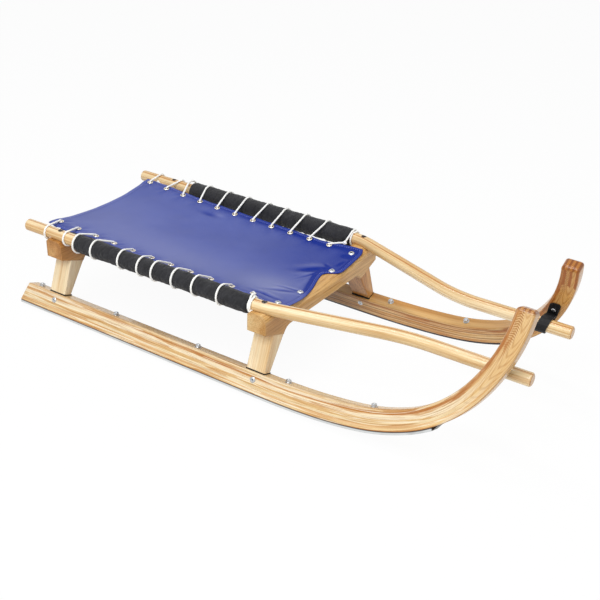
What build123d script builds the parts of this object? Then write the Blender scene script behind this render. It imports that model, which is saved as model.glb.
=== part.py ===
"""Racing sled: laminated runners, splayed legs, two bowed bridges, bent side rails and a laced seat.

Datum: X = 0 at the rear end of the side rails, +X forward, Y = 0 on the centre plane, +Z up.
Every piece is modelled on the left side or across the middle, and left pieces are mirrored to the right.
At the end all pieces shift together, so that the origin is the bottom centre of the whole sled.
"""
import os
from math import acos, atan2, ceil, cos, degrees, exp, pi, radians, sin, sqrt, tan

from build123d import *

# ---------------------------------------------------------------- driving dimensions (mm, degrees)
SEAT_GAP = 0.3              # clearance between a curved piece and its seat

# runners, canted so that the inner edge of the steel bears on the snow
CANT = 20.3                 # lean of each runner's plane towards the middle
TRACK_HALF = 212.1          # centre plane to the middle of a runner's wooden sole
RUNNER_WIDTH = 28.6
RUNNER_HEIGHT = 42.9
HORN_THICKNESS = 34.2       # runner height at the tip of the horn
RUNNER_REAR = -7.0          # rear end of the sole
REAR_SLANT = 17.0           # how far the upper rear corner stands forward of the sole
RUNNER_STRAIGHT = 654.5     # straight length of the sole
BEND_1_R, BEND_1_ANGLE = 2000.0, 3.05   # the bends follow one another up to the tip of the horn
BEND_2_R, BEND_2_ANGLE = 926.0, 6.35
BEND_3_R, BEND_3_ANGLE = 405.0, 14.0
BEND_4_R, BEND_4_ANGLE = 260.0, 36.7
BEND_5_R, BEND_5_ANGLE = 340.0, 28.8
TAPER_START = 800.0         # along the sole, where the horn begins to thin
HORN_CORNER = 7.0           # rounding of the horn's tip
RUNNER_EDGE = 1.5           # bevel of the long edges

# steel rails under the runners
STEEL_WIDTH = 24.6
STEEL_THICKNESS = 6.0
STEEL_BEND_ANGLE = 37.5     # how far round the bend the steel reaches
STEEL_TIP = 14.0            # length of the tapered front end

# feet: rubber pads and splayed legs
PAD_THICKNESS = 2.5
PAD_OUTER = 12.2            # outer edge of a pad, off the runner's middle
PAD_INNER = 10.8            # inner edge of a pad, off the runner's middle
LEG_OUTER = 12.0            # outer face of a leg, off the runner's middle
LEG_INNER_FOOT = 8.3        # inner face of a leg at its foot, off the runner's middle
LEG_INNER_SLOPE = 0.233     # how fast the inner face runs inwards as it rises
LEG_HEIGHT = 77.0           # from the pad to the joint under the bridge
LEG_EDGE = 1.4              # bevel of the upright edges

# bridges
BRIDGE_WIDTH = 43.0
REAR_BRIDGE_X = 95.0
FRONT_BRIDGE_X = 625.0
BRIDGE_HALF_SPAN = 205.5
BRIDGE_RISE = 14.3          # flat underside between the legs, above the inner end of a leg's joint
BRIDGE_DEPTH = 28.5         # depth of the beam at the middle
BRIDGE_HOLLOW = 19.0        # how far the top dips from the end blocks to the middle
BRIDGE_SHOULDER_R = 60.0    # rounding where the hollow top meets the end blocks
BRIDGE_HAUNCH_R = 24.0      # rounding between underside and leg
BRIDGE_NOSE_R = 14.0        # rounding of the front upper edge
BRIDGE_BACK = 4.7           # bevel of the rear upper edge

# side rails
RAIL_R = 13.0
RAIL_HALF_SPACING = 185.0
RAIL_LET_IN = 6.6           # how deep a rail lies in the end blocks
RAIL_BEND_START = 600.0
RAIL_TURN = 18.5            # angle of each bend of the S
RAIL_BEND_R1 = 150.0
RAIL_DIAGONAL = 205.0       # straight stretch between the two bends
RAIL_BEND_R2 = 300.0
RAIL_TAIL = 188.0           # straight stretch past the horns
RAIL_ROLL = 9.0             # how far the plane of the S dips towards the middle
RAIL_CHAMFER = 2.5
RAIL_BARE_REAR = 40.0       # free length at the rear end, where a rack or a cart holds the sled
RAIL_BARE_FRONT = 28.0      # free length at the front tip
RAIL_SIDES = 16             # sides of the rail between its round ends
RAIL_RELIEF = 0.05          # how far those sides' corners lie inside the round ends
COUNTERBORE_R = 4.2
COUNTERBORE_DEPTH = 7.0

# padded sleeves on the rails
SLEEVE_START = 147.0
SLEEVE_END = 598.0
SLEEVE_PADDING = 3.8

# seat cover
COVER_THICKNESS = 1.4
COVER_REAR = 44.0
COVER_FRONT = 643.0
COVER_EDGE_OFFSET = 9.0     # from the eyelet row out to the edge of the cover
COVER_REAR_RISE = 2.2       # middle of the rear edge, above the rails' middle
COVER_MID_DROP = 19.5       # lowest line at mid length, below the rails' middle
COVER_STATIONS = 8
COVER_STRIPS = 10
HEM_SETBACK = 21.0          # how far the front hem draws back between the inner screws
HEM_SETBACK_HALF = 52.0     # reach of that bay to either side
HEM_POINTS = 8

# eyelets and lacing
EYELETS = 11
EYELET_FIRST = 57.0
EYELET_PITCH = 51.1
EYELET_ROW_REAR = 144.8     # half distance between the rows at the first eyelet
EYELET_ROW_FRONT = 138.1    # and at the last
EYELET_RISE_REAR = 7.8      # first eyelet above the rails' middle
EYELET_DROP_FRONT = 8.4     # last eyelet below it
EYELET_ROW_SAG = 5.6
EYELET_R = 5.6
EYELET_BARREL_R = 3.6
EYELET_BORE_R = 2.8
EYELET_FLANGE = 0.7
CLOTH_GAP = 0.3             # between soft pieces and the metal clamped on them

CORD_R = 1.8
CORD_OVER_FLANGE = 0.3      # clearance of the cord above an eyelet
CORD_DROP = 4.0             # how far the cord runs straight down below an eyelet
CORD_WRAP_STEPS = 4
CORD_LEAD = (-2.0, 6.0, -8.0, -8.0, 7.0, 9.0, 5.0, 6.0, 6.0, 13.5)   # loop's crossing, ahead of its eyelet
CORD_CLEAR = 0.3            # clearance of the cord round a rail or sleeve
CORD_END_GAP = 2.7          # middle of the last turn, ahead of the sleeve's end

# fastenings
PIN_SIDES = 6               # shanks, studs and their holes
HEAD_SIDES = 8              # heads, washers and eyelets
BORE_SIDES = 12             # counterbores
CUT_PAST = 2.0              # how far a drill runs past the wood
NUT_FIRST = 39.0
NUT_PITCH = 219.2
NUT_COUNT = 4               # on the straight part
NUT_LAST = 896.0            # along the sole, on the rising part
NUT_OFFSET = 2.0            # outboard of the runner's middle
NUT_ACROSS_CORNERS = 11.0
NUT_HEIGHT = 5.0
WASHER_R = 6.6
WASHER_THICKNESS = 1.2
STUD_R = 2.9
STUD_END = 1.0              # how far a stud stands out of its nut
FOOT_BOLT_R = 2.9
FOOT_BOLT_HEAD_R = 5.0
FOOT_BOLT_HEAD = 2.2
FOOT_BOLT_RISE = 27.0       # above the sole
FOOT_BOLT_SHIFT = (-3.0, 0.0)   # off the middle of the rear and front legs
SCREW_SHANK_R = 2.0
SHANK_GAP = 0.15            # clearance of a shank in its hole
SEAT_SCREW_OFFSETS = (58.5, 135.5)
SEAT_SCREW_R = 6.6
SEAT_SCREW_HEAD = 2.6
SEAT_SCREW_LENGTH = 18.0    # under the head
RAIL_SCREW_R = 3.6
RAIL_SCREW_HEAD = 2.0
RAIL_SCREW_LENGTH = 36.0    # under the head
RAIL_SCREW_SHIFT = (4.0, 2.0)   # forward of the middle of the rear and front bridges

# straps that tie the rails to the horns
STRAP_WIDTH = 21.0
STRAP_THICKNESS = 2.8
STRAP_RISE = 35.5           # strap's upper end above the middle of the rail's tip
STRAP_LOOP_SIDES = 16
STRAP_LEAN = 14.0           # lean of the strap's edges, as the horn's
STRAP_END_R = 8.5           # rounding of the upper end
STRAP_FOLD = 182.0          # where the loop leaves the horn, above the sole
STRAP_SCREW_ALONG = 1173.0  # along the sole
STRAP_SCREW_ABOVE = 20.0    # above the sole, square to it
STRAP_SCREW_R = 4.6
STRAP_SCREW_HEAD = 2.4
STRAP_SCREW_LENGTH = 18.0

# ---------------------------------------------------------------- frames and small helpers
SIN_CANT = sin(radians(CANT))
COS_CANT = cos(radians(CANT))
SOLE_HEIGHT = STEEL_THICKNESS * COS_CANT + STEEL_WIDTH / 2 * SIN_CANT   # steel's inner edge at Z = 0
OUTWARD = (0, COS_CANT, SIN_CANT)       # across a left runner
# side view of the left runner: local x forward, y away from the sole, z inboard
RUNNER_PLANE = Plane(origin=(0, TRACK_HALF, SOLE_HEIGHT), x_dir=(1, 0, 0), z_dir=(0, -COS_CANT, -SIN_CANT))


def canted(x, across, above):
    """World point on the left runner: across its middle (outboard +) and above its sole."""
    return Vector(x, TRACK_HALF + across * COS_CANT - above * SIN_CANT,
                  SOLE_HEIGHT + across * SIN_CANT + above * COS_CANT)


def cross_plane(x):
    """Front view of the left runner at x: local x outboard, y away from the sole."""
    return Plane(origin=(x, TRACK_HALF, SOLE_HEIGHT), x_dir=OUTWARD, z_dir=(1, 0, 0))


def front_view(x):
    """Front view on the world axes at x: local x is world Y, local y is world Z."""
    return Plane(origin=(x, 0, 0), x_dir=(0, 1, 0), z_dir=(1, 0, 0))


def slab(outline, plane, thickness):
    """Closed outline in the plane, made solid to both sides of it."""
    return extrude(make_face(plane * outline), amount=thickness / 2, both=True)


def mirrored(shape):
    return mirror(shape, about=Plane.XZ)


def pin(foot, direction, radius, length, sides=PIN_SIDES):
    """Small round bar with few sides, its corners on the radius, that stands on a point."""
    section = Plane(origin=foot, z_dir=direction) * RegularPolygon(radius, sides)
    return extrude(section, amount=length, dir=Vector(*direction).normalized())


def bore(foot, direction, radius, length, sides=PIN_SIDES):
    """Drill for a hole with few sides, its flats on the radius."""
    section = Plane(origin=foot, z_dir=direction) * RegularPolygon(radius, sides, major_radius=False)
    return extrude(section, amount=length, dir=Vector(*direction).normalized())


def screw(seat, direction, head_r, head_height, shank_length, shank_r=SCREW_SHANK_R):
    """Domed screw: the head stands on its seat and the shank runs back into the work."""
    out = Vector(*direction).normalized()
    head = pin(seat, out, head_r, head_height, HEAD_SIDES)
    rim = head.faces().sort_by(lambda face: face.center().dot(out))[-1].edges()
    head = chamfer(rim, 0.4 * head_height)
    return head + pin(seat, out * -1, shank_r, shank_length)


def bend_chain(start, offset, total_angle):
    """Tangent arcs of the runner's bends, offset below the sole, up to a total angle."""
    arcs = []
    heading = 0.0
    point = Vector(*start)
    for radius, angle in RUNNER_BENDS:
        turn = min(angle, total_angle - heading)
        if turn <= 0:
            break
        arc = JernArc(point, (cos(radians(heading)), sin(radians(heading))), radius + offset, turn)
        arcs.append(arc)
        heading += turn
        point = arc @ 1
    return arcs


# ---------------------------------------------------------------- runners and steel
RUNNER_BENDS = ((BEND_1_R, BEND_1_ANGLE), (BEND_2_R, BEND_2_ANGLE), (BEND_3_R, BEND_3_ANGLE),
                (BEND_4_R, BEND_4_ANGLE), (BEND_5_R, BEND_5_ANGLE))
FULL_BEND = sum(angle for radius, angle in RUNNER_BENDS)
SOLE_START = (RUNNER_REAR, 0)
SOLE_BEND_START = (RUNNER_REAR + RUNNER_STRAIGHT, 0)
SOLE = Wire([Line(SOLE_START, SOLE_BEND_START)] + bend_chain(SOLE_BEND_START, 0, FULL_BEND))


def runner_thickness(along):
    taper = max(0.0, along - TAPER_START) / (SOLE.length - TAPER_START)
    return RUNNER_HEIGHT + (HORN_THICKNESS - RUNNER_HEIGHT) * taper


def sole_point(along, above=0.0):
    """Point in side view at a distance along the sole, and the direction of the sole there."""
    base = SOLE.position_at(along, position_mode=PositionMode.LENGTH)
    heading = SOLE.tangent_at(along, position_mode=PositionMode.LENGTH)
    return base + Vector(-heading.Y, heading.X) * above, heading


def upper_edge():
    """One arc over each bend, at the runner's thickness above the sole."""
    arcs = []
    start = RUNNER_STRAIGHT
    for radius, angle in RUNNER_BENDS:
        end = start + radius * radians(angle)
        stations = (start, (start + end) / 2, min(end, SOLE.length))
        arcs.append(ThreePointArc(*[sole_point(s, runner_thickness(s))[0] for s in stations]))
        start = end
    return arcs


def runner():
    """Side outline sawn to width, long edges bevelled and horn tip rounded."""
    upper = upper_edge()
    rear_corner = Vector(RUNNER_REAR + REAR_SLANT, RUNNER_HEIGHT)
    outline = Wire([
        *SOLE.edges(),
        Line(SOLE @ 1, upper[-1] @ 1),
        *upper,
        Line(upper[0] @ 0, rear_corner),
        Line(rear_corner, SOLE_START),
    ])
    body = slab(outline, RUNNER_PLANE, RUNNER_WIDTH)
    across = body.edges().filter_by(GeomType.LINE).filter_by(Axis((0, 0, 0), OUTWARD))
    body = fillet(across.sort_by(Axis.Z)[-2:], HORN_CORNER)
    long_edges = [e for e in body.edges() if e.length > 3 * RUNNER_WIDTH]
    return chamfer(long_edges, RUNNER_EDGE)


def steel_rail():
    """Flat bar under the sole, its front end tapered into the bend."""
    lower_start = (RUNNER_REAR, -STEEL_THICKNESS)
    lower_bend = (SOLE_BEND_START[0], -STEEL_THICKNESS)
    upper = [Line(SOLE_START, SOLE_BEND_START)] + bend_chain(SOLE_BEND_START, 0, STEEL_BEND_ANGLE)
    tip_angle = degrees(STEEL_TIP / BEND_4_R)
    lower = [Line(lower_start, lower_bend)]
    lower += bend_chain(lower_bend, STEEL_THICKNESS, STEEL_BEND_ANGLE - tip_angle)
    outline = Wire(upper + [Line(upper[-1] @ 1, lower[-1] @ 1)] + lower + [Line(lower_start, SOLE_START)])
    return slab(outline, RUNNER_PLANE, STEEL_WIDTH)


# ---------------------------------------------------------------- feet
FOOT = RUNNER_HEIGHT + PAD_THICKNESS        # height of a leg's lower end above the sole
LEG_TOP = FOOT + LEG_HEIGHT
LEG_INNER_TOP = LEG_INNER_FOOT + LEG_INNER_SLOPE * LEG_HEIGHT


def foot_pad(x):
    middle = canted(x, (PAD_OUTER - PAD_INNER) / 2, RUNNER_HEIGHT + PAD_THICKNESS / 2)
    place = Plane(origin=middle, x_dir=OUTWARD, z_dir=(1, 0, 0))
    return place.location * Box(PAD_OUTER + PAD_INNER, PAD_THICKNESS, BRIDGE_WIDTH)


def leg(x):
    """Leg square to the runner outside, widening inwards up to the joint under the bridge."""
    corners = [(LEG_OUTER, FOOT), (LEG_OUTER, LEG_TOP), (-LEG_INNER_TOP, LEG_TOP), (-LEG_INNER_FOOT, FOOT)]
    body = slab(Polyline(*corners, close=True), cross_plane(x), BRIDGE_WIDTH)
    upright = [e for e in body.edges() if e.length > 0.99 * LEG_HEIGHT]
    return chamfer(upright, LEG_EDGE)


# ---------------------------------------------------------------- heights that follow from the legs
JOINT_INNER = canted(0, -LEG_INNER_TOP, LEG_TOP)            # inner end of a leg's joint
BRIDGE_UNDERSIDE = JOINT_INNER.Z + BRIDGE_RISE
BRIDGE_CROWN = BRIDGE_UNDERSIDE + BRIDGE_DEPTH
BRIDGE_END_TOP = BRIDGE_CROWN + BRIDGE_HOLLOW
RAIL_HEIGHT = BRIDGE_END_TOP + RAIL_R - RAIL_LET_IN


# ---------------------------------------------------------------- side rails
def rail_path():
    """Straight along the seat, then an S towards the middle, in a plane that dips inboard."""
    start = Vector(0, 0)
    bare = Vector(RAIL_BARE_REAR, 0)
    bend = Vector(RAIL_BEND_START, 0)
    first = JernArc(bend, (1, 0), RAIL_BEND_R1, -RAIL_TURN)
    diagonal_end = (first @ 1) + (first % 1) * RAIL_DIAGONAL
    second = JernArc(diagonal_end, first % 1, RAIL_BEND_R2, RAIL_TURN)
    tail_end = (second @ 1) + Vector(RAIL_TAIL, 0)
    tail_bare = tail_end - Vector(RAIL_BARE_FRONT, 0)
    bent = [Line(bare, bend), first, Line(first @ 1, diagonal_end), second, Line(second @ 1, tail_bare)]
    roll = radians(RAIL_ROLL)
    start_point = (0, RAIL_HALF_SPACING, RAIL_HEIGHT)
    plane = Plane(origin=start_point, x_dir=(1, 0, 0), z_dir=(0, -sin(roll), cos(roll)))
    return plane * Wire([Line(start, bare), *bent, Line(tail_bare, tail_end)]), plane * Wire(bent)


RAIL_PATH, RAIL_BENT_PATH = rail_path()
RAIL_TIP = RAIL_PATH @ 1


def faceted_rod(path, radius):
    """Rod with few sides, its corners on the radius."""
    profile = Plane(origin=path @ 0, z_dir=(1, 0, 0)) * RegularPolygon(radius, RAIL_SIDES)
    return sweep(profile, path=path)


def cradle():
    """Room for a rail in the bridges' end blocks."""
    return faceted_rod(RAIL_PATH, (RAIL_R + SEAT_GAP) / cos(pi / RAIL_SIDES))


def rail_screw_seats():
    """Bottoms of the counterbores, one over each bridge."""
    stations = [REAR_BRIDGE_X + RAIL_SCREW_SHIFT[0], FRONT_BRIDGE_X + RAIL_SCREW_SHIFT[1]]
    axis_points = [RAIL_PATH.position_at(s, position_mode=PositionMode.LENGTH) for s in stations]
    return [point + Vector(0, 0, RAIL_R - COUNTERBORE_DEPTH) for point in axis_points]


def side_rail():
    """Few-sided bent stretch between round, chamfered ends, counterbored for its screws."""
    rod = faceted_rod(RAIL_BENT_PATH, RAIL_R - RAIL_RELIEF)
    for start, length in ((RAIL_PATH @ 0, RAIL_BARE_REAR), (RAIL_BENT_PATH @ 1, RAIL_BARE_FRONT)):
        rod += extrude(Plane(origin=start, z_dir=(1, 0, 0)) * Circle(RAIL_R), amount=length)
    ends = rod.edges().filter_by(GeomType.CIRCLE).sort_by(Axis.X)
    rod = chamfer([ends[0], ends[-1]], RAIL_CHAMFER)
    for seat in rail_screw_seats():
        rod -= bore(seat, (0, 0, 1), COUNTERBORE_R, 2 * RAIL_R, BORE_SIDES)
        rod -= bore(seat, (0, 0, -1), SCREW_SHANK_R + SHANK_GAP, 2 * RAIL_R)
    return rod


def rail_screws():
    head = (RAIL_SCREW_R, RAIL_SCREW_HEAD)
    return [screw(seat, (0, 0, 1), *head, RAIL_SCREW_LENGTH) for seat in rail_screw_seats()]


def sleeve():
    """Padding wrapped round the straight part of the rail."""
    length = SLEEVE_END - SLEEVE_START
    place = Location((SLEEVE_START, RAIL_HALF_SPACING, RAIL_HEIGHT), (0, 90, 0))
    low = (Align.CENTER, Align.CENTER, Align.MIN)
    inner = RAIL_R + SEAT_GAP
    return place * (Cylinder(inner + SLEEVE_PADDING, length, align=low) - Cylinder(inner, length, align=low))


# ---------------------------------------------------------------- bridges
SHOULDER_Y = RAIL_HALF_SPACING - RAIL_R     # where the level end block begins
BRIDGE_TOP_R = (SHOULDER_Y ** 2 + BRIDGE_HOLLOW ** 2) / (2 * BRIDGE_HOLLOW) - BRIDGE_SHOULDER_R
BLEND_ANGLE = atan2(SHOULDER_Y, BRIDGE_TOP_R + BRIDGE_SHOULDER_R - BRIDGE_HOLLOW)


def bridge_top(y):
    """Height of the bridge's hollow top at a distance from the middle."""
    reach = abs(y)
    if reach <= BRIDGE_TOP_R * sin(BLEND_ANGLE):
        return BRIDGE_CROWN + BRIDGE_TOP_R - sqrt(BRIDGE_TOP_R ** 2 - reach ** 2)
    if reach < SHOULDER_Y:
        return BRIDGE_END_TOP - BRIDGE_SHOULDER_R + sqrt(BRIDGE_SHOULDER_R ** 2 - (SHOULDER_Y - reach) ** 2)
    return BRIDGE_END_TOP


def bridge_outline():
    """Hollow top, level end blocks, haunches that run down onto the legs."""
    blend_y = BRIDGE_TOP_R * sin(BLEND_ANGLE)
    blend = Vector(blend_y, bridge_top(blend_y))
    shoulder = Vector(SHOULDER_Y, BRIDGE_END_TOP)
    half_y = (blend_y + SHOULDER_Y) / 2
    joint_in = Vector(JOINT_INNER.Y, JOINT_INNER.Z)
    end_low = Vector(BRIDGE_HALF_SPAN, joint_in.Y + (BRIDGE_HALF_SPAN - joint_in.X) * tan(radians(CANT)))
    end_high = Vector(BRIDGE_HALF_SPAN, BRIDGE_END_TOP)
    # direction of the leg's inner face, in world Y and Z, carried up to the flat underside
    lean = Vector(-LEG_INNER_SLOPE * COS_CANT - SIN_CANT, -LEG_INNER_SLOPE * SIN_CANT + COS_CANT)
    haunch = joint_in + lean * ((BRIDGE_UNDERSIDE - joint_in.Y) / lean.Y)

    def flip(point):
        return Vector(-point.X, point.Y)

    half = [end_high, end_low, joint_in, haunch]
    lower = Polyline(*half, *[flip(point) for point in reversed(half)])
    top = [
        Line(end_high, shoulder),
        ThreePointArc(shoulder, (half_y, bridge_top(half_y)), blend),
        ThreePointArc(blend, (0, BRIDGE_CROWN), flip(blend)),
        ThreePointArc(flip(blend), (-half_y, bridge_top(half_y)), flip(shoulder)),
        Line(flip(shoulder), flip(end_high)),
    ]
    return Wire(lower.edges() + [e for part in top for e in part.edges()])


def bridge(x, rods):
    """Bowed beam with a rounded nose and a bevelled back, let out for the rails that lie in its end blocks."""
    body = slab(bridge_outline(), front_view(x), BRIDGE_WIDTH)
    haunch_edges = [e for e in body.edges().filter_by(Axis.X)
                    if abs(e.center().Z - BRIDGE_UNDERSIDE) < 0.01 and abs(e.center().Y) > 1]
    body = fillet(haunch_edges, BRIDGE_HAUNCH_R)
    for side, ease, size in ((1, fillet, BRIDGE_NOSE_R), (-1, chamfer, BRIDGE_BACK)):
        on_face = [e for e in body.edges() if abs(e.center().X - x - side * BRIDGE_WIDTH / 2) < 0.01]
        upper = [e for e in on_face if e.bounding_box().min.Z > BRIDGE_CROWN - 0.01]
        body = ease(upper, size)
    for rod in rods:
        body -= rod
    return body


# ---------------------------------------------------------------- seat cover and eyelets
EYELET_LAST = EYELET_FIRST + (EYELETS - 1) * EYELET_PITCH
ROW_END = EYELET_LAST + 2 * EYELET_R                    # where the cover begins to come down
COVER_ON_BRIDGE = FRONT_BRIDGE_X - BRIDGE_WIDTH / 2     # and where it lies on the front bridge
TOP_CENTRE_Z = BRIDGE_CROWN + BRIDGE_TOP_R
COVER_TOP_R = BRIDGE_TOP_R - SEAT_GAP - COVER_THICKNESS     # cover's upper face over the front bridge


def cover_on_bridge(y):
    return TOP_CENTRE_Z - sqrt(COVER_TOP_R ** 2 - y ** 2)


def row_fraction(x):
    return (x - EYELET_FIRST) / (EYELET_LAST - EYELET_FIRST)


def row_offset(x):
    return EYELET_ROW_REAR + (EYELET_ROW_FRONT - EYELET_ROW_REAR) * min(1.0, row_fraction(x))


def taut_height(x):
    f = row_fraction(x)
    sag = EYELET_ROW_SAG * 4 * f * (1 - f)
    return RAIL_HEIGHT + EYELET_RISE_REAR - (EYELET_RISE_REAR + EYELET_DROP_FRONT) * f - sag


def row_height(x):
    """Height of the cover's upper face along the eyelet rows, then down onto the front bridge."""
    if x <= ROW_END:
        return taut_height(x)
    onto = min(1.0, (x - ROW_END) / (COVER_ON_BRIDGE - ROW_END))
    return taut_height(ROW_END) + (cover_on_bridge(row_offset(x)) - taut_height(ROW_END)) * onto


def seat_height(x):
    """Height of the cover's upper face on the centre line: a parabola down onto the front bridge."""
    rear, front = RAIL_HEIGHT + COVER_REAR_RISE, cover_on_bridge(0)
    f = min(1.0, (x - COVER_REAR) / (COVER_ON_BRIDGE - COVER_REAR))
    curve = 2 * (rear + front) - 4 * (RAIL_HEIGHT - COVER_MID_DROP)
    return rear + (front - rear - curve) * f + curve * f * f


def cover_height(x, y):
    """Height of the cover's upper face anywhere behind the front bridge."""
    if x >= COVER_ON_BRIDGE:
        return cover_on_bridge(y)
    middle = seat_height(x)
    return middle + (row_height(x) - middle) * (y / row_offset(x)) ** 2


def cover_normal(x, y):
    step = 1.0
    along = (cover_height(x + step, y) - cover_height(x - step, y)) / (2 * step)
    across = (cover_height(x, y + step) - cover_height(x, y - step)) / (2 * step)
    return Vector(-along, -across, 1).normalized()


def cover_section(x):
    """Thin band from edge to edge in narrow strips, sagging between the rails."""
    half = row_offset(x) + COVER_EDGE_OFFSET
    inner = COVER_STRIPS - 2
    across = [-half, *[row_offset(x) * (2 * i / inner - 1) for i in range(inner + 1)], half]
    upper = [Vector(y, cover_height(x, y)) for y in across]
    lower = [point - Vector(0, COVER_THICKNESS) for point in reversed(upper)]
    return make_face(front_view(x) * Polyline(*upper, *lower, close=True))


def eyelet_places():
    stations = [EYELET_FIRST + i * EYELET_PITCH for i in range(EYELETS)]
    return [(x, row_offset(x)) for x in stations]


def seat_screw_places():
    """Seats of the left screws on the cover over the front bridge, with the way they point."""
    places = []
    for y in SEAT_SCREW_OFFSETS:
        top = Vector(FRONT_BRIDGE_X, y, cover_on_bridge(y))
        out = (Vector(FRONT_BRIDGE_X, 0, TOP_CENTRE_Z) - top).normalized()
        places.append((top + out * CLOTH_GAP, out))
    return places


def hem(y):
    """Front edge of the cover at a distance from the middle."""
    return COVER_FRONT - HEM_SETBACK * exp(-(y / HEM_SETBACK_HALF) ** 2)


def front_trim():
    """What is cut away in front of the hem."""
    half = row_offset(COVER_FRONT) + 2 * COVER_EDGE_OFFSET
    edge = [(hem(y), y) for y in (half * (2 * i / HEM_POINTS - 1) for i in range(HEM_POINTS + 1))]
    ahead = COVER_FRONT + BRIDGE_WIDTH
    outline = Polyline(*edge, (ahead, half), (ahead, -half), close=True)
    return extrude(Pos(0, 0, BRIDGE_UNDERSIDE) * make_face(outline), amount=BRIDGE_WIDTH * 2)


def seat_cover():
    step = (ROW_END - COVER_REAR) / COVER_STATIONS
    stations = [COVER_REAR + i * step for i in range(COVER_STATIONS + 1)] + [COVER_ON_BRIDGE, COVER_FRONT]
    body = loft([cover_section(x) for x in stations], ruled=True)
    holes = [front_trim()]
    for x, y in eyelet_places():
        normal = cover_normal(x, y)
        foot = Vector(x, y, cover_height(x, y)) - normal * 2 * COVER_THICKNESS
        hole = bore(foot, normal, EYELET_BARREL_R + CLOTH_GAP, 4 * COVER_THICKNESS)
        holes += [hole, mirrored(hole)]
    for seat, out in seat_screw_places():
        hole = bore(seat + out, out * -1, SCREW_SHANK_R + SHANK_GAP, 6 * COVER_THICKNESS)
        holes += [hole, mirrored(hole)]
    return body - holes


def eyelet(x, y):
    """Barrel through the cover under a flange."""
    normal = cover_normal(x, y)
    top = Vector(x, y, cover_height(x, y))
    upper = top + normal * CLOTH_GAP
    lower = top - normal * (COVER_THICKNESS + CLOTH_GAP + EYELET_FLANGE)
    height = COVER_THICKNESS + 2 * CLOTH_GAP + 2 * EYELET_FLANGE
    ring = pin(upper, normal, EYELET_R, EYELET_FLANGE, HEAD_SIDES) + pin(lower, normal, EYELET_BARREL_R, height)
    return ring - bore(lower - normal, normal, EYELET_BORE_R, height + CUT_PAST)


def seat_screws():
    head = (SEAT_SCREW_R, SEAT_SCREW_HEAD)
    left = [screw(seat, out, *head, SEAT_SCREW_LENGTH) for seat, out in seat_screw_places()]
    return both_sides(left)


# ---------------------------------------------------------------- lacing
def wrapped_radius(x):
    """Distance of the cord's middle line from the rail's, on the sleeve or on bare wood."""
    on_sleeve = SLEEVE_START - CORD_R < x < SLEEVE_END
    return RAIL_R + CORD_R + CORD_CLEAR + (SEAT_GAP + SLEEVE_PADDING if on_sleeve else 0.0)


def tangent_angle(point, radius, side):
    """Where a taut cord from a point meets the circle round the rail, above (-1) or below (1)."""
    reach = Vector(point.Y - RAIL_HALF_SPACING, point.Z - RAIL_HEIGHT)
    return atan2(reach.Y, reach.X) % (2 * pi) + side * acos(min(1.0, radius / reach.length))


def wrap(x_from, x_to, radius, angle_from, angle_to):
    """Corners of a few-sided turn round the rail, drawn clear of the circle."""
    steps = max(2, ceil(CORD_WRAP_STEPS * abs(angle_from - angle_to) / pi))
    step = (angle_to - angle_from) / steps
    reach = radius / cos(step / 2)
    corners = []
    for i in range(steps):
        angle = angle_from + step * (i + 0.5)
        x = x_from + (x_to - x_from) * (i + 0.5) / steps
        corners.append(Vector(x, RAIL_HALF_SPACING + reach * cos(angle), RAIL_HEIGHT + reach * sin(angle)))
    return corners


def eyelet_passage(x, y):
    """Ends of the straight piece of cord through an eyelet, below and above the cover."""
    normal = cover_normal(x, y)
    top = Vector(x, y, cover_height(x, y))
    above = CLOTH_GAP + EYELET_FLANGE + CORD_OVER_FLANGE + CORD_R
    return top - normal * (COVER_THICKNESS + CORD_DROP), top + normal * above


def lacing_path():
    """Up through each eyelet, over the rail, down and under it, then forward to the next eyelet."""
    places = eyelet_places()
    rear_bridge_back = REAR_BRIDGE_X - BRIDGE_WIDTH / 2
    rear_bridge_front = REAR_BRIDGE_X + BRIDGE_WIDTH / 2
    points = []
    for i, (x, y) in enumerate(places):
        below, above = eyelet_passage(x, y)
        points += [below, above]
        if i == EYELETS - 1:
            break
        crossing = x + CORD_LEAD[i]
        radius = wrapped_radius(crossing)
        start = tangent_angle(above, radius, -1)
        next_below = eyelet_passage(*places[i + 1])[0]
        over_bridge = crossing < rear_bridge_back < next_below.X
        side = -1 if over_bridge else 1
        end = tangent_angle(next_below, radius, side) - 2 * pi
        if rear_bridge_back < crossing < rear_bridge_front + CORD_R:
            crossing = rear_bridge_front + CORD_R + CORD_CLEAR
        points += wrap(crossing, crossing, radius, start, end)
    last = SLEEVE_END + CORD_END_GAP
    over_sleeve = wrapped_radius((SLEEVE_START + SLEEVE_END) / 2)
    start = tangent_angle(points[-1], over_sleeve, -1)
    points += wrap(last, last, over_sleeve, start, pi / 3)
    return points + wrap(last, last, wrapped_radius(last), pi / 3, 0.0)


def cord(path, radius):
    """Few-sided cord along straight stretches, mitred where they meet."""
    ways = [(b - a).normalized() for a, b in zip(path, path[1:])]
    side = ways[0].cross(Vector(0, 0, 1) if abs(ways[0].Z) < 0.9 else Vector(1, 0, 0)).normalized()
    over = ways[0].cross(side)
    ring = [path[0] + side * radius, path[0] + over * radius, path[0] - side * radius, path[0] - over * radius]
    rings = [ring]
    for k, way in enumerate(ways):
        mitre = way + ways[k + 1] if k + 1 < len(ways) else way
        reached = path[k + 1]
        ring = [corner + way * ((reached - corner).dot(mitre) / way.dot(mitre)) for corner in ring]
        rings.append(ring)
    faces = [Face(Wire.make_polygon(rings[0])), Face(Wire.make_polygon(rings[-1]))]
    for near, far in zip(rings, rings[1:]):
        for j in range(4):
            k = (j + 1) % 4
            faces.append(Face(Wire.make_polygon([near[j], near[k], far[k], far[j]])))
    return Solid(Shell(faces))


# ---------------------------------------------------------------- runner fastenings
def runner_world(flat):
    """World point on the runner's middle plane from a side view point."""
    return canted(flat.X, 0, flat.Y)


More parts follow.
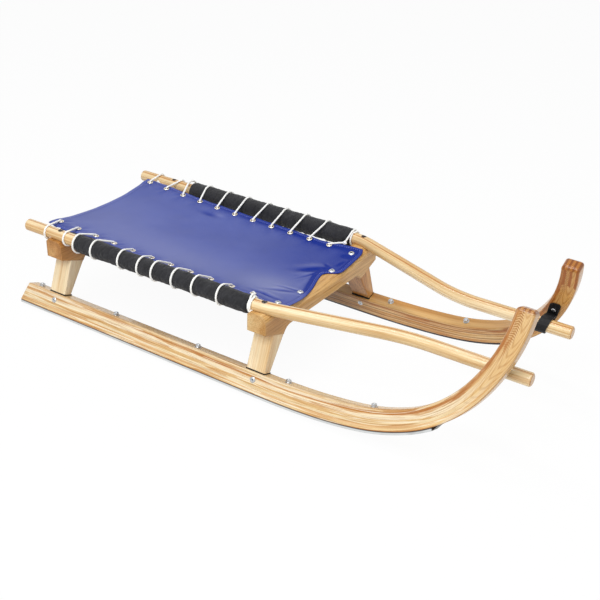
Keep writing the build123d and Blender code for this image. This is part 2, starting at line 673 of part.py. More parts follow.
def nut_axes():
    """Feet on the sole, directions and washer heights for the left runner's studs."""
    axes = []
    straight = [NUT_FIRST + i * NUT_PITCH - RUNNER_REAR for i in range(NUT_COUNT)]
    for along in straight + [NUT_LAST]:
        base, heading = sole_point(along)
        clear = 2 * SHANK_GAP if heading.Y > 0 else 0
        foot = canted(base.X, NUT_OFFSET, base.Y)
        up = Vector(-heading.Y, -heading.X * SIN_CANT, heading.X * COS_CANT)
        axes.append((foot, up, runner_thickness(along) + clear))
    return axes


def stud_and_nut(foot, up, washer_height):
    """Stud up through the runner from just clear of the steel, with washer and nut on top."""
    washer_seat = foot + up * washer_height
    nut_seat = washer_seat + up * WASHER_THICKNESS
    stud_length = washer_height - SHANK_GAP + WASHER_THICKNESS + NUT_HEIGHT + STUD_END
    fastening = pin(foot + up * SHANK_GAP, up, STUD_R, stud_length)
    fastening += pin(washer_seat, up, WASHER_R, WASHER_THICKNESS, HEAD_SIDES)
    return fastening + pin(nut_seat, up, NUT_ACROSS_CORNERS / 2, NUT_HEIGHT, 6)


def foot_bolt_stations():
    return [REAR_BRIDGE_X + FOOT_BOLT_SHIFT[0], FRONT_BRIDGE_X + FOOT_BOLT_SHIFT[1]]


def foot_bolt(x):
    """Cross bolt through the runner below a leg, with a flat head on either side."""
    outward = Vector(*OUTWARD)
    outer = canted(x, RUNNER_WIDTH / 2, FOOT_BOLT_RISE)
    inner = canted(x, -RUNNER_WIDTH / 2, FOOT_BOLT_RISE)
    bolt = screw(outer, outward, FOOT_BOLT_HEAD_R, FOOT_BOLT_HEAD, RUNNER_WIDTH / 2, FOOT_BOLT_R)
    return bolt + screw(inner, outward * -1, FOOT_BOLT_HEAD_R, FOOT_BOLT_HEAD, RUNNER_WIDTH / 2, FOOT_BOLT_R)


# ---------------------------------------------------------------- straps at the horns
def strap_screw_seat():
    flat = sole_point(STRAP_SCREW_ALONG, STRAP_SCREW_ABOVE)[0]
    return canted(flat.X, -RUNNER_WIDTH / 2, flat.Y)


def horn_strap():
    """Strap screwed to the horn's inner face and looped round the rail."""
    seat = strap_screw_seat()
    inward = Vector(*OUTWARD) * -1
    rail = Vector(RAIL_TIP.Y, RAIL_TIP.Z)
    top = RAIL_TIP.Z + STRAP_RISE
    fold_r = 0.6
    fold = canted(0, -RUNNER_WIDTH / 2 - STRAP_THICKNESS - fold_r, STRAP_FOLD)
    fold_centre = Vector(fold.Y, fold.Z)

    def teardrop(grown):
        size = RAIL_R + SEAT_GAP + grown
        loop = Pos(rail.X, rail.Y) * RegularPolygon(size, STRAP_LOOP_SIDES, major_radius=False)
        nub = Pos(fold_centre.X, fold_centre.Y) * RegularPolygon(fold_r + grown, PIN_SIDES)
        return make_hull(loop.edges() + nub.edges())

    tongue_low = canted(0, -RUNNER_WIDTH / 2, STRAP_FOLD)
    tongue_high = canted(0, -RUNNER_WIDTH / 2, STRAP_FOLD + top)
    low = Vector(tongue_low.Y, tongue_low.Z)
    high = Vector(tongue_high.Y, tongue_high.Z)
    across = Vector(inward.Y, inward.Z) * STRAP_THICKNESS
    tongue = make_face(Polyline(low, high, high + across, low + across, close=True))
    section = teardrop(STRAP_THICKNESS) - teardrop(0) + tongue
    # side outline: leaning edges, rounded upper end
    lean = tan(radians(STRAP_LEAN))
    bottom = rail.Y - 2 * RAIL_R
    half = STRAP_WIDTH / 2

    def edge_x(z, side):
        return seat.X + side * half + (z - seat.Z) * lean

    corners = [(edge_x(z, way), z) for z, way in ((bottom, -1), (bottom, 1), (top, 1), (top, -1))]
    side = make_face(Polyline(*corners, close=True))
    side = chamfer(side.vertices().group_by(Axis.Y)[-1], STRAP_END_R / 2)
    sideways = Plane(origin=(0, 0, 0), x_dir=(1, 0, 0), z_dir=(0, -1, 0))
    band = extrude(front_view(seat.X) * section, amount=2 * STRAP_WIDTH, both=True)
    slice_ = extrude(sideways * side, amount=-RAIL_HALF_SPACING)
    strap = band & slice_
    return strap - strap_screw_hole()


def strap_screw_hole():
    outward = Vector(*OUTWARD)
    start = strap_screw_seat() - outward * 2 * STRAP_THICKNESS
    return bore(start, outward, SCREW_SHANK_R + SHANK_GAP, STRAP_SCREW_LENGTH + 2 * STRAP_THICKNESS)


def strap_screw():
    inward = Vector(*OUTWARD) * -1
    seat = strap_screw_seat() + inward * (STRAP_THICKNESS + CLOTH_GAP)
    return screw(seat, inward, STRAP_SCREW_R, STRAP_SCREW_HEAD, STRAP_SCREW_LENGTH)


# ---------------------------------------------------------------- assembly
def drilled_runner():
    body = runner()
    for foot, up, washer_height in nut_axes():
        body -= bore(foot - up, up, STUD_R + SHANK_GAP, washer_height + CUT_PAST)
    for x in foot_bolt_stations():
        start = canted(x, -RUNNER_WIDTH, FOOT_BOLT_RISE)
        body -= bore(start, OUTWARD, FOOT_BOLT_R + SHANK_GAP, 2 * RUNNER_WIDTH)
    return body - strap_screw_hole()


def drilled_bridge(x, rods, seats):
    body = bridge(x, rods)
    for seat in seats:
        body -= bore(seat, (0, 0, -1), SCREW_SHANK_R + SHANK_GAP, RAIL_SCREW_LENGTH + CUT_PAST)
    return body


def both_sides(shapes):
    return shapes + [mirrored(shape) for shape in shapes]


def assembly():
    """All pieces by name, in the datum frame."""
    cradles = both_sides([cradle()])
    rear_seat, front_seat = rail_screw_seats()
    rear_seats = [rear_seat, Vector(rear_seat.X, -rear_seat.Y, rear_seat.Z)]
    front_seats = [front_seat, Vector(front_seat.X, -front_seat.Y, front_seat.Z)]
    front = drilled_bridge(FRONT_BRIDGE_X, cradles, front_seats)
    for seat, out in seat_screw_places():
        hole = bore(seat, out * -1, SCREW_SHANK_R + SHANK_GAP, SEAT_SCREW_LENGTH + CUT_PAST)
        front -= [hole, mirrored(hole)]
    left = {
        "runner": drilled_runner(),
        "steel_rail": steel_rail(),
        "foot_pad_rear": foot_pad(REAR_BRIDGE_X),
        "foot_pad_front": foot_pad(FRONT_BRIDGE_X),
        "leg_rear": leg(REAR_BRIDGE_X),
        "leg_front": leg(FRONT_BRIDGE_X),
        "side_rail": side_rail(),
        "rail_sleeve": sleeve(),
        "eyelets": [eyelet(x, y) for x, y in eyelet_places()],
        "runner_nuts": [stud_and_nut(*axis) for axis in nut_axes()],
        "foot_bolts": [foot_bolt(x) for x in foot_bolt_stations()],
        "horn_strap": horn_strap(),
        "lacing": cord(lacing_path(), CORD_R),
    }
    pieces = {
        "bridge_rear": drilled_bridge(REAR_BRIDGE_X, cradles, rear_seats),
        "bridge_front": front,
        "seat_cover": seat_cover(),
        "seat_screws": seat_screws(),
        "rail_screws": both_sides(rail_screws()),
        "strap_screws": both_sides([strap_screw()]),
    }
    for name, shape in left.items():
        several = isinstance(shape, list)
        pieces[name + "_left"] = shape
        pieces[name + "_right"] = [mirrored(one) for one in shape] if several else mirrored(shape)
    return pieces


def solids_of(shape):
    shapes = shape if isinstance(shape, list) else [shape]
    return [solid for one in shapes for solid in one.solids()]


def main():
    pieces = {name: solids_of(shape) for name, shape in assembly().items()}
    boxes = [solid.bounding_box() for solids in pieces.values() for solid in solids]
    low_x = min(box.min.X for box in boxes)
    high_x = max(box.max.X for box in boxes)
    low_z = min(box.min.Z for box in boxes)
    shift = Location((-(low_x + high_x) / 2, 0, -low_z))
    os.makedirs("parts", exist_ok=True)
    for name, solids in sorted(pieces.items()):
        placed = [shift * solid for solid in solids]
        export_step(placed[0] if len(placed) == 1 else Compound(placed), "parts/" + name + ".step")
        print(name, len(solids), "solids", round(sum(solid.volume for solid in solids) / 1000, 2), "cm3")
    print("length over all", round(high_x - low_x, 1), "shift", shift.position)
    print("sole ends at", SOLE @ 1, "rail tip", RAIL_TIP)


main()
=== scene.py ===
"""Dresses the racing sled: camera, studio, wood, fabric, cord and metal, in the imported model's frame.

Shapes are worked out in millimetres from the rear end of the side rails (X forward, Y left, Z up) with the
same named sizes as the CAD source, and placed in metres by at().
"""
import math

import bmesh
import bpy
from mathutils import Matrix, Vector, noise


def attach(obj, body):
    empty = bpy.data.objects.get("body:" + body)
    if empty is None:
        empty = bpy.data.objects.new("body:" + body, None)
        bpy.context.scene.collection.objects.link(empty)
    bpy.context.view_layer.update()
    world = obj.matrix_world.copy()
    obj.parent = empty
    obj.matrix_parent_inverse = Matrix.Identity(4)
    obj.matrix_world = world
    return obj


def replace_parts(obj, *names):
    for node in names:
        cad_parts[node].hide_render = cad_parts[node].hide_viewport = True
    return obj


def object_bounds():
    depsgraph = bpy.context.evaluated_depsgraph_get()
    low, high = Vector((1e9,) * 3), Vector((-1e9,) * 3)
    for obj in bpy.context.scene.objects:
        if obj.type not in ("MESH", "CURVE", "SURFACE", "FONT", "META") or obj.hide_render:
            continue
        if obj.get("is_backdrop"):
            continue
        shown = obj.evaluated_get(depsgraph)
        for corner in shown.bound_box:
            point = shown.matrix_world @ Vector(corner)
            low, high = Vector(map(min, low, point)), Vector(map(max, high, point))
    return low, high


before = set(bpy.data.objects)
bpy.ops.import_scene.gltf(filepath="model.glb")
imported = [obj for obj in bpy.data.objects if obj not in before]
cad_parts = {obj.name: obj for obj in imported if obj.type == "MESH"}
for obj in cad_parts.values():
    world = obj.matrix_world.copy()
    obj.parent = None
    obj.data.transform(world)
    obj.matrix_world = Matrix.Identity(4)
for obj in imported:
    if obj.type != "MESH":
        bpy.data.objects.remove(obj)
CAD_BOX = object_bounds()

# ------------------------------------------------------------------ sizes of the sled (mm)
SHIFT_X = -559.097                       # from the rail's rear end to the row frame's origin
SIDES = ((1, "left"), (-1, "right"))
CANT = math.radians(20.3)
SIN_CANT, COS_CANT = math.sin(CANT), math.cos(CANT)
TRACK_HALF = 212.1
RUNNER_WIDTH, RUNNER_HEIGHT, HORN_THICKNESS = 28.6, 42.9, 34.2
RUNNER_REAR, REAR_SLANT, TAPER_START, HORN_CORNER = -7.0, 17.0, 800.0, 7.0
RUNNER_BENDS = ((2000.0, 3.05), (926.0, 6.35), (405.0, 14.0), (260.0, 36.7), (340.0, 28.8))
SOLE = [(654.5, 0.0)] + [(r * math.radians(a), 1 / r) for r, a in RUNNER_BENDS]
SOLE_LENGTH = sum(length for length, bend in SOLE)
SOLE_HEIGHT = 6.0 * COS_CANT + 12.3 * SIN_CANT

RAIL_R, RAIL_HALF_SPACING, RAIL_HEIGHT = 13.0, 185.0, 183.788
RAIL_TURN, RAIL_ROLL, RAIL_CHAMFER = math.radians(18.5), math.radians(9.0), 2.5
RAIL = [(600.0, 0.0), (150 * RAIL_TURN, -1 / 150), (205.0, 0.0), (300 * RAIL_TURN, 1 / 300), (188.0, 0.0)]
RAIL_LENGTH = sum(length for length, bend in RAIL)
SCREW_STATIONS = (99.0, 627.0)
COUNTERBORE_R, COUNTERBORE_DEPTH, RAIL_SCREW_SUNK = 4.2, 7.0, 1.8
SLEEVE_START, SLEEVE_END, SLEEVE_R = 147.0, 598.0, 17.1
SLEEVE_FULLER, SLEEVE_LOWER = {1: 3.0, -1: 1.6}, {1: 0.6, -1: 2.8}
STEEL_WIDTH, STEEL_THICKNESS, STEEL_BEND, STEEL_TIP = 24.6, 6.0, 37.5, 14.0

BRIDGE_WIDTH, REAR_BRIDGE_X, FRONT_BRIDGE_X = 43.0, 95.0, 625.0
BRIDGE_CROWN, BRIDGE_HOLLOW, BRIDGE_SHOULDER_R = 158.388, 19.0, 60.0
SHOULDER_Y = RAIL_HALF_SPACING - RAIL_R
BRIDGE_TOP_R = (SHOULDER_Y ** 2 + BRIDGE_HOLLOW ** 2) / (2 * BRIDGE_HOLLOW) - BRIDGE_SHOULDER_R

EYELETS, EYELET_FIRST, EYELET_PITCH = 11, 57.0, 51.1
EYELET_LAST = EYELET_FIRST + (EYELETS - 1) * EYELET_PITCH
ROW_REAR, ROW_FRONT, ROW_SAG = 144.8, 138.1, 5.6
EYELET_R, EYELET_BORE_R, CLOTH_GAP = 5.6, 2.8, 0.3
COVER_REAR, COVER_FRONT, COVER_THICKNESS = 44.0, 643.0, 1.4
ROW_END = EYELET_LAST + 2 * EYELET_R
ON_BRIDGE = FRONT_BRIDGE_X - BRIDGE_WIDTH / 2
TOP_CENTRE_Z = BRIDGE_CROWN + BRIDGE_TOP_R
COVER_TOP_R = BRIDGE_TOP_R - 0.3 - COVER_THICKNESS
SEAT_SCREWS = (58.5, 135.5)              # from the middle line, on the front bridge

# ------------------------------------------------------------------ sizes of what is dressed (mm)
TIP_EASE = 1.5                           # the horn's tip is rounded this much more than its arrises
ARRIS, HORN_ARRIS = 2.0, 4.2
HEM_DEPTH, HEM_RISE, STITCH_PITCH = 9.0, 0.5, 5.2
STITCH_INSET = HEM_DEPTH - 2.2
STITCH = ((-1.75, 0.05), (-1.45, 0.26), (-0.6, 0.36), (0.6, 0.36), (1.45, 0.26), (1.75, 0.05))
FLAP, FRONT_FLAP, LEFT_FLAP = 13.0, 18.0, 4.0
COLUMNS, ROWS = 210, 124                 # spans of the seat's grid, along and across
CLOTH_HOLE_R = 2.9
SHEET_FROM_REAR, SHEET_FROM_FRONT, SHEET_MEAN = 599.0, 590.0, 595.0     # its length where it is measured
DIMPLE = (262.0, 112.0)
INNER, OUTER = SEAT_SCREWS
# folds that fan out from the front screws: start from the bridge, direction, reach, half breadth, depth
CREASES = [((FRONT_BRIDGE_X + ahead, y), way, *sizes) for ahead, y, way, *sizes in (
    (-14, INNER - 3, (-46, -30), 60, 8.0, 3.2), (-12, INNER - 6, (-29, -59), 62, 2.6, 1.8),
    (-11, INNER + 7, (-17, 8), 20, 3.4, 1.9), (-6, OUTER - 17, (16, 2), 22, 5.0, 2.4),
    (0, OUTER - 52, (3, 14), 20, 4.0, 1.3), (-6, 2 - INNER, (-40, -6), 46, 3.2, 1.8),
    (-10, -6 - INNER, (-44, -26), 60, 5.0, 1.8), (-14, 14 - OUTER, (-60, 2), 70, 5.0, 2.0),
    (-12, INNER - 30, (4, -60), 70, 6.0, 1.0))]

CORD_R, CORD_SIDES = 2.1, 12
LEADS = {1: (-1.0, 7.0, -9.0, -7.0, 1.0, 4.0, 10.0, 8.0, 10.0, 15.0),
         -1: (7.5, 10.4, -8.0, -9.5, 14.5, 15.0, 1.0, 2.0, 2.0, 12.0)}  # loops ahead of their eyelets
KNOT = (594.0, 158.0, 180.5)
SLEEVE_LATER = 9.0                       # the left sleeve starts this much further forward
SLEEVE_SIDES, RAIL_SIDES = 56, 40
SLEEVE_CAP, FRAMES = 1.6, 20             # most movement in the cloth simulation, and its length
FILLING = {"quality": 5, "mass": 0.2, "tension_stiffness": 12, "compression_stiffness": 12,
           "shear_stiffness": 4, "bending_stiffness": 0.5, "use_pressure": True,
           "uniform_pressure_force": 3.0, "shrink_min": -0.025, "vertex_group_mass": "held"}

SEAT_SCREW_HEAD, FOOT_BOLT_HEAD, HEAD_SIDES = (6.6, 2.6), (6.0, 2.4), 32
FOOT_BOLT_HEIGHT = 27.0
NUT_STATIONS = [46.0 + i * 219.2 for i in range(4)] + [896.0]
NUT_OFFSET, NUT_CORNER_R, NUT_FOOT = 2.0, 5.5, 1.2
NUT = ((NUT_FOOT, 5.05), (1.6, NUT_CORNER_R), (5.6, NUT_CORNER_R), (6.1, 5.0), (6.2, 4.4))  # height, radius
EYELET_SIDES = 28

THREAD_PITCH, TWILL_PITCH, BRAID_PITCH = 0.0011, 0.0013, 0.0042         # metres

# ------------------------------------------------------------------ studio and tones
WORLD_LIGHT, FLOOR_GLOW = 0.36, 0.95
FLOOR_HALF, FLOOR_HEIGHT = 6.0, -0.0005  # metres
LAMPS = (("key", (0.3, -2.2, 2.6), (0, 0, 0.1), (2.2, 1.6), 62),
         ("side", (2.6, 0.8, 1.6), (0, 0, 0.15), (0.7, 1.4), 9),
         ("top", (-0.1, -0.35, 2.8), (0, 0, 0.1), (2.8, 0.3), 30))
FRONT_BRIDGE_TONES = ("E4C48E", "D6AC70", "BC8A4A", "98662C")           # palest to darkest
REAR_BRIDGE_TONES = ("D8A86A", "C28A4C", "A06A30", "80501E")
# the same wood on both sides: the left legs' darker tones are painted shade, the right legs' paler ones
# painted light
LEG_TONES = {1: ("D9A668", "BE8444", "9E662C", "7C481A"), -1: ("FBEBCB", "F4DDB4", "E6C491", "CFA068")}


def at(x, y, z):
    """Place in the row frame, in metres, of a point given in mm."""
    return Vector(((x + SHIFT_X) / 1000, y / 1000, z / 1000))


def clamped(t):
    """Held between 0 and 1."""
    return min(1.0, max(0.0, t))


def bell(*offsets):
    """1 at the middle, falling off smoothly; 0.37 where an offset is 1."""
    return math.exp(-sum(t ** 2 for t in offsets))


def placed(name, data):
    """Object with this data, linked to the scene."""
    obj = bpy.data.objects.new(name, data)
    bpy.context.scene.collection.objects.link(obj)
    return obj


# ------------------------------------------------------------------ camera
CAM_PLACE = Vector((0.9875, -1.4876, 1.0651))
CAM_AZIMUTH, CAM_ELEVATION, CAM_ROLL = math.radians(32.68), math.radians(28.41), math.radians(2.0)
CAM_LENS, CAM_SENSOR, CAM_SHIFT = 58.56, 36, -0.0035


def make_camera():
    """Camera that looks from ahead of the sled's right side, a little rolled."""
    sa, ca = math.sin(CAM_AZIMUTH), math.cos(CAM_AZIMUTH)
    se, ce = math.sin(CAM_ELEVATION), math.cos(CAM_ELEVATION)
    forward = Vector((-sa * ce, ca * ce, -se))
    level = Vector((ca, sa, 0))
    rise = Vector((-sa * se, ca * se, ce))
    right = level * math.cos(CAM_ROLL) + rise * math.sin(CAM_ROLL)
    up = rise * math.cos(CAM_ROLL) - level * math.sin(CAM_ROLL)
    data = bpy.data.cameras.new("camera")
    cam = placed("camera", data)
    cam.matrix_world = Matrix((right, up, -forward)).transposed().to_4x4()
    cam.location = CAM_PLACE
    data.lens = CAM_LENS
    data.sensor_width = CAM_SENSOR
    data.shift_x = CAM_SHIFT
    data.clip_start = 0.05
    bpy.context.scene.camera = cam


# ------------------------------------------------------------------ materials: helpers
def rgb(code):
    """Linear colour of a hexadecimal sRGB code."""
    parts = [int(code[i:i + 2], 16) / 255 for i in (0, 2, 4)]
    return tuple(c / 12.92 if c <= 0.04045 else ((c + 0.055) / 1.055) ** 2.4 for c in parts) + (1.0,)


class Paint:
    """Short way to write nodes: p.times(a, b) makes a node and gives its output."""

    def __init__(self, owner):
        """Takes a world, or the name of a new material."""
        self.owner = bpy.data.materials.new(owner) if isinstance(owner, str) else owner
        self.owner.use_nodes = True
        self.tree = self.owner.node_tree
        self.tree.nodes.clear()

    def feed(self, made, key, value):
        """Links an output to one input, or sets a plain value or the colour of a code."""
        if isinstance(value, bpy.types.NodeSocket):
            self.tree.links.new(value, made.inputs[key])
        else:
            made.inputs[key].default_value = rgb(value) if isinstance(value, str) else value

    def node(self, kind, inputs=None, **settings):
        made = self.tree.nodes.new("ShaderNode" + kind)
        for key, value in settings.items():
            setattr(made, key, value)
        for key, value in (inputs or {}).items():
            self.feed(made, key, value)
        return made

    def math(self, operation, a, b=0.0):
        return self.node("Math", {0: a, 1: b}, operation=operation).outputs[0]

    def times(self, a, b):
        return self.math("MULTIPLY", a, b)

    def plus(self, a, b):
        return self.math("ADD", a, b)

    def minus(self, a, b):
        return self.math("SUBTRACT", a, b)

    def larger(self, a, b):
        return self.math("MAXIMUM", a, b)

    def absolute(self, a):
        return self.math("ABSOLUTE", a)

    def sine(self, a):
        return self.math("SINE", a)

    def scaled(self, vector, factors):
        return self.node("VectorMath", {0: vector, 1: factors}, operation="MULTIPLY").outputs[0]

    def measured(self, operation, a, b):
        """Distance or dot product of two vectors."""
        return self.node("VectorMath", {0: a, 1: b}, operation=operation).outputs["Value"]

    def split(self, vector):
        return self.node("SeparateXYZ", {0: vector}).outputs

    def join(self, x=0.0, y=0.0, z=0.0):
        return self.node("CombineXYZ", {0: x, 1: y, 2: z}).outputs[0]

    def attribute(self, name):
        return self.node("Attribute", attribute_name=name).outputs["Vector"]

    def place(self):
        return self.node("TexCoord").outputs["Object"]

    def noise(self, vector, scale=1.0, detail=2.0, rough=0.5, distortion=0.0):
        return self.node("TexNoise", {"Vector": vector, "Scale": scale, "Detail": detail, "Roughness": rough,
                                      "Distortion": distortion}).outputs[0]

    def veins(self, grain, stretch, detail=2.0, rough=0.5, distortion=0.0):
        """Noise drawn out along a grain."""
        return self.noise(self.scaled(grain, stretch), 1.0, detail, rough, distortion)

    def ramp(self, fac, stops):
        made = self.node("ValToRGB", {0: fac})
        ramp = made.color_ramp
        ramp.elements[0].position, ramp.elements[1].position = stops[0][0], stops[-1][0]
        for stop in stops[1:-1]:
            ramp.elements.new(stop[0])
        for element, (_, colour) in zip(ramp.elements, stops):
            element.color = rgb(colour) if isinstance(colour, str) else (*colour, 1.0)
        return made.outputs["Color"]

    def grey(self, fac, low, high, out_low=0.0, out_high=1.0):
        """A value carried from one range to another, and held at its ends."""
        return self.node("MapRange", {0: fac, 1: low, 2: high, 3: out_low, 4: out_high}).outputs[0]

    def mix(self, fac, a, b, blend="MIX"):
        made = self.node("Mix", data_type="RGBA", blend_type=blend)
        for index, value in ((0, fac), (6, a), (7, b)):
            self.feed(made, index, value)
        return made.outputs[2]

    def tint(self, colour, code, fac, low, high, amount=1.0):
        """Lays a colour over another by as much as fac has gone from low to high."""
        return self.mix(self.grey(fac, low, high, 0.0, amount), colour, code)

    def soft_edges(self, radius, samples):
        return self.node("Bevel", {"Radius": radius}, samples=samples).outputs[0]

    def bump(self, height, strength, distance, normal=None):
        inputs = {"Height": height, "Strength": strength, "Distance": distance}
        if normal is not None:
            inputs["Normal"] = normal
        return self.node("Bump", inputs).outputs[0]

    def blend(self, fac, one, two):
        return self.node("MixShader", {0: fac, 1: one, 2: two}).outputs[0]

    def finish(self, inputs):
        """Ends the material with one plain shader."""
        shader = self.node("BsdfPrincipled", inputs)
        self.node("OutputMaterial", {"Surface": shader.outputs[0]})
        return self.owner


# ------------------------------------------------------------------ materials: wood
def fibres(p, grain, tones, broad=1.0):
    """Colour and height of planed, lacquered wood: drifting tone, growth lines, fine pores."""
    drift = p.veins(grain, (2.2, 40 * broad, 40 * broad))
    lines = p.veins(grain, (5.0, 420, 420), detail=3.0, rough=0.6, distortion=0.4)
    pores = p.veins(grain, (60.0, 2600, 2600), detail=1.0)
    colour = p.ramp(drift, [(0.30, tones[2]), (0.50, tones[1]), (0.70, tones[0])])
    shade = p.ramp(lines, [(0.30, (0.80, 0.76, 0.70)), (0.55, (1, 1, 1)), (0.75, (1.0, 0.985, 0.95))])
    colour = p.mix(0.85, colour, shade, "MULTIPLY")
    pore = p.grey(pores, 0.30, 0.42, 0.0, 1.0)
    colour = p.mix(0.35, colour, p.mix(pore, (0.72, 0.64, 0.52, 1), (1, 1, 1, 1)), "MULTIPLY")
    height = p.plus(p.times(lines, 0.6), p.times(pore, 0.4))
    return colour, height


def lacquer(p, colour, height, rough, coat=0.25):
    """Satin varnish over wood, a little uneven."""
    patches = p.noise(p.place(), 14.0, 3.0)
    roughness = p.grey(patches, 0.3, 0.7, *rough)
    return p.finish({
        "Base Color": colour, "Roughness": roughness, "Normal": p.bump(height, 0.14, 0.0004),
        "Specular IOR Level": 0.25, "Coat Weight": coat, "Coat Roughness": 0.06,
    })


def runner_wood(name, tint, depth, streaks):
    """Bent laminations: strips of differing tone that run the whole length, split open at the horn; tint,
    laid on as far as depth says, is painted shade.
    """
    p = Paint(name)
    grain = p.attribute("grain")
    layer = p.attribute("layer")
    along, _, above = p.split(grain)
    level, side, reach = p.split(layer)
    base, height = fibres(p, grain, ("EBD3A8", "DDBB88", "C89C60"), 1.4)
    on_side = p.grey(p.absolute(side), 0.86, 0.93)
    # strips seen on the sides, with wavering edges and long lens-shaped islands
    waver = p.noise(p.join(p.times(along, 6.0), p.times(above, 70.0), side), detail=2.0)
    slow = p.noise(p.join(p.times(along, 2.4), 3.7, side))
    drift = p.plus(p.times(p.minus(waver, 0.5), 0.17), p.times(p.minus(slow, 0.5), 0.10))
    line = p.plus(level, drift)
    strips = p.ramp(line, [
        (0.00, "C27F3C"), (0.05, "D39A58"), (0.09, "ECCE96"), (0.17, "DFB885"),
        (0.25, "E2B883"), (0.29, "F1DFB6"), (0.38, "EFD9A9"), (0.42, "D3AA70"),
        (0.52, "DDB880"), (0.56, "F6E7C8"), (0.70, "F3E1BC"), (0.76, "CB9459"),
        (0.79, "AC672A"), (0.86, "B6763A"), (0.885, "E4C28C"), (1.00, "F4E1B9")])
    # the dark strip fades towards the rear
    paler = p.times(p.grey(reach, 0.42, 0.12, 0.0, 0.6), p.grey(line, 0.70, 0.76))
    strips = p.mix(paler, strips, "DDB27A")
    lens = p.veins(grain, (7.0, 60, 240), rough=0.5, distortion=0.8)
    strips = p.tint(strips, "F6E8CA", lens, 0.55, 0.59, 0.80)
    strips = p.tint(strips, "C48A48", lens, 0.43, 0.39, 0.75)
    fine = p.veins(grain, (9.0, 500, 1100), detail=3.0, rough=0.7)
    strips = p.tint(strips, "AC7430", fine, 0.46, 0.38, 0.75)
    strips = p.tint(strips, "FAEED2", fine, 0.56, 0.68, 0.45)
    dark = p.grey(p.sine(p.plus(p.times(line, 21.0), 1.2)), 0.50, 0.90, 0.0, streaks)
    strips = p.mix(dark, strips, "9A6430")
    base = p.tint(base, "C08C52", level, 0.05, 0.0, 0.55)
    colour = p.mix(on_side, base, strips)
    # the horn: a darker outer lamination, feathered glue lines, and arched growth lines beside them
    horn = p.grey(reach, 0.79, 0.90)
    arch = p.minus(p.times(along, 260.0), p.times(p.math("POWER", p.minus(level, 0.36), 2.0), 150.0))
    arch = p.sine(p.plus(arch, p.times(p.veins(grain, (12, 60, 60)), 16.0)))
    wood = p.mix(p.grey(arch, 0.1, 0.95, 0.0, 0.6), "DDB880", "B37E42")
    wood = p.tint(wood, "B07C40", fine, 0.46, 0.34, 0.5)
    colour = p.mix(p.times(p.times(horn, on_side), p.grey(level, 0.84, 0.78, 0.0, 0.85)), colour, wood)
    outer = p.times(p.times(p.grey(reach, 0.80, 0.90), on_side), p.grey(level, 0.83, 0.85, 0.0, 0.8))
    colour = p.mix(outer, colour, p.mix(p.grey(fine, 0.4, 0.6), "9C632E", "C08850"))
    vee = p.absolute(p.minus(level, 0.64))
    phase = p.plus(p.times(along, 1350.0), p.times(vee, 26.0))
    jitter = p.times(p.veins(grain, (45, 240, 240), detail=3.0), 5.5)
    teeth = p.grey(p.sine(p.plus(phase, jitter)), -0.2, 0.5)
    ragged = p.plus(vee, p.times(p.veins(grain, (60, 150, 150)), 0.16))
    fading = p.plus(reach, p.times(p.veins(grain, (30, 60, 60)), 0.05))
    strip = p.times(p.grey(ragged, 0.27, 0.19), p.grey(fading, 0.945, 0.985, 0.0, 0.80))
    colour = p.mix(p.times(p.times(teeth, strip), on_side), colour, "9C6229")
    smudge = p.veins(grain, (16, 70, 140), detail=3.0, rough=0.6)
    smudge = p.times(p.grey(smudge, 0.50, 0.58),
                     p.times(p.grey(level, 0.55, 0.70), p.grey(reach, 0.70, 0.78, 0.0, 0.75)))
    colour = p.mix(p.times(smudge, on_side), colour, "A8672E")
    # the ends of the inner laminations show as dark fingers near the tip, on the inner side
    fingers = p.grey(p.sine(p.times(level, 19.0)), -0.1, 0.25)
    ends = p.plus(reach, p.times(p.noise(p.join(p.times(level, 9.0), 1.3, 5.1)), 0.012))
    fingers = p.times(p.times(fingers, p.grey(ends, 0.966, 0.969)), p.grey(side, -0.8, -0.93))
    colour = p.mix(p.times(fingers, 0.9), colour, "A2601C")
    # darker arrises: a darker line along the top and bottom edges of the sides
    edge = p.times(p.grey(p.absolute(side), 0.85, 0.95), p.grey(p.absolute(p.minus(level, 0.5)), 0.455, 0.49))
    colour = p.mix(p.times(edge, 0.50), colour, "8F5A2A")
    tipped = p.grey(reach, 0.9930, 0.9965)
    bars = p.grey(p.sine(p.times(level, 24.0)), -0.3, 0.5)
    colour = p.mix(tipped, colour, p.mix(bars, "B47E42", "8A5422"))
    # painted shade: the whole colour is multiplied by tint, as far as depth says
    colour = p.mix(depth, colour, p.mix(1.0, colour, tint, "MULTIPLY"))
    return lacquer(p, colour, height, (0.16, 0.30))


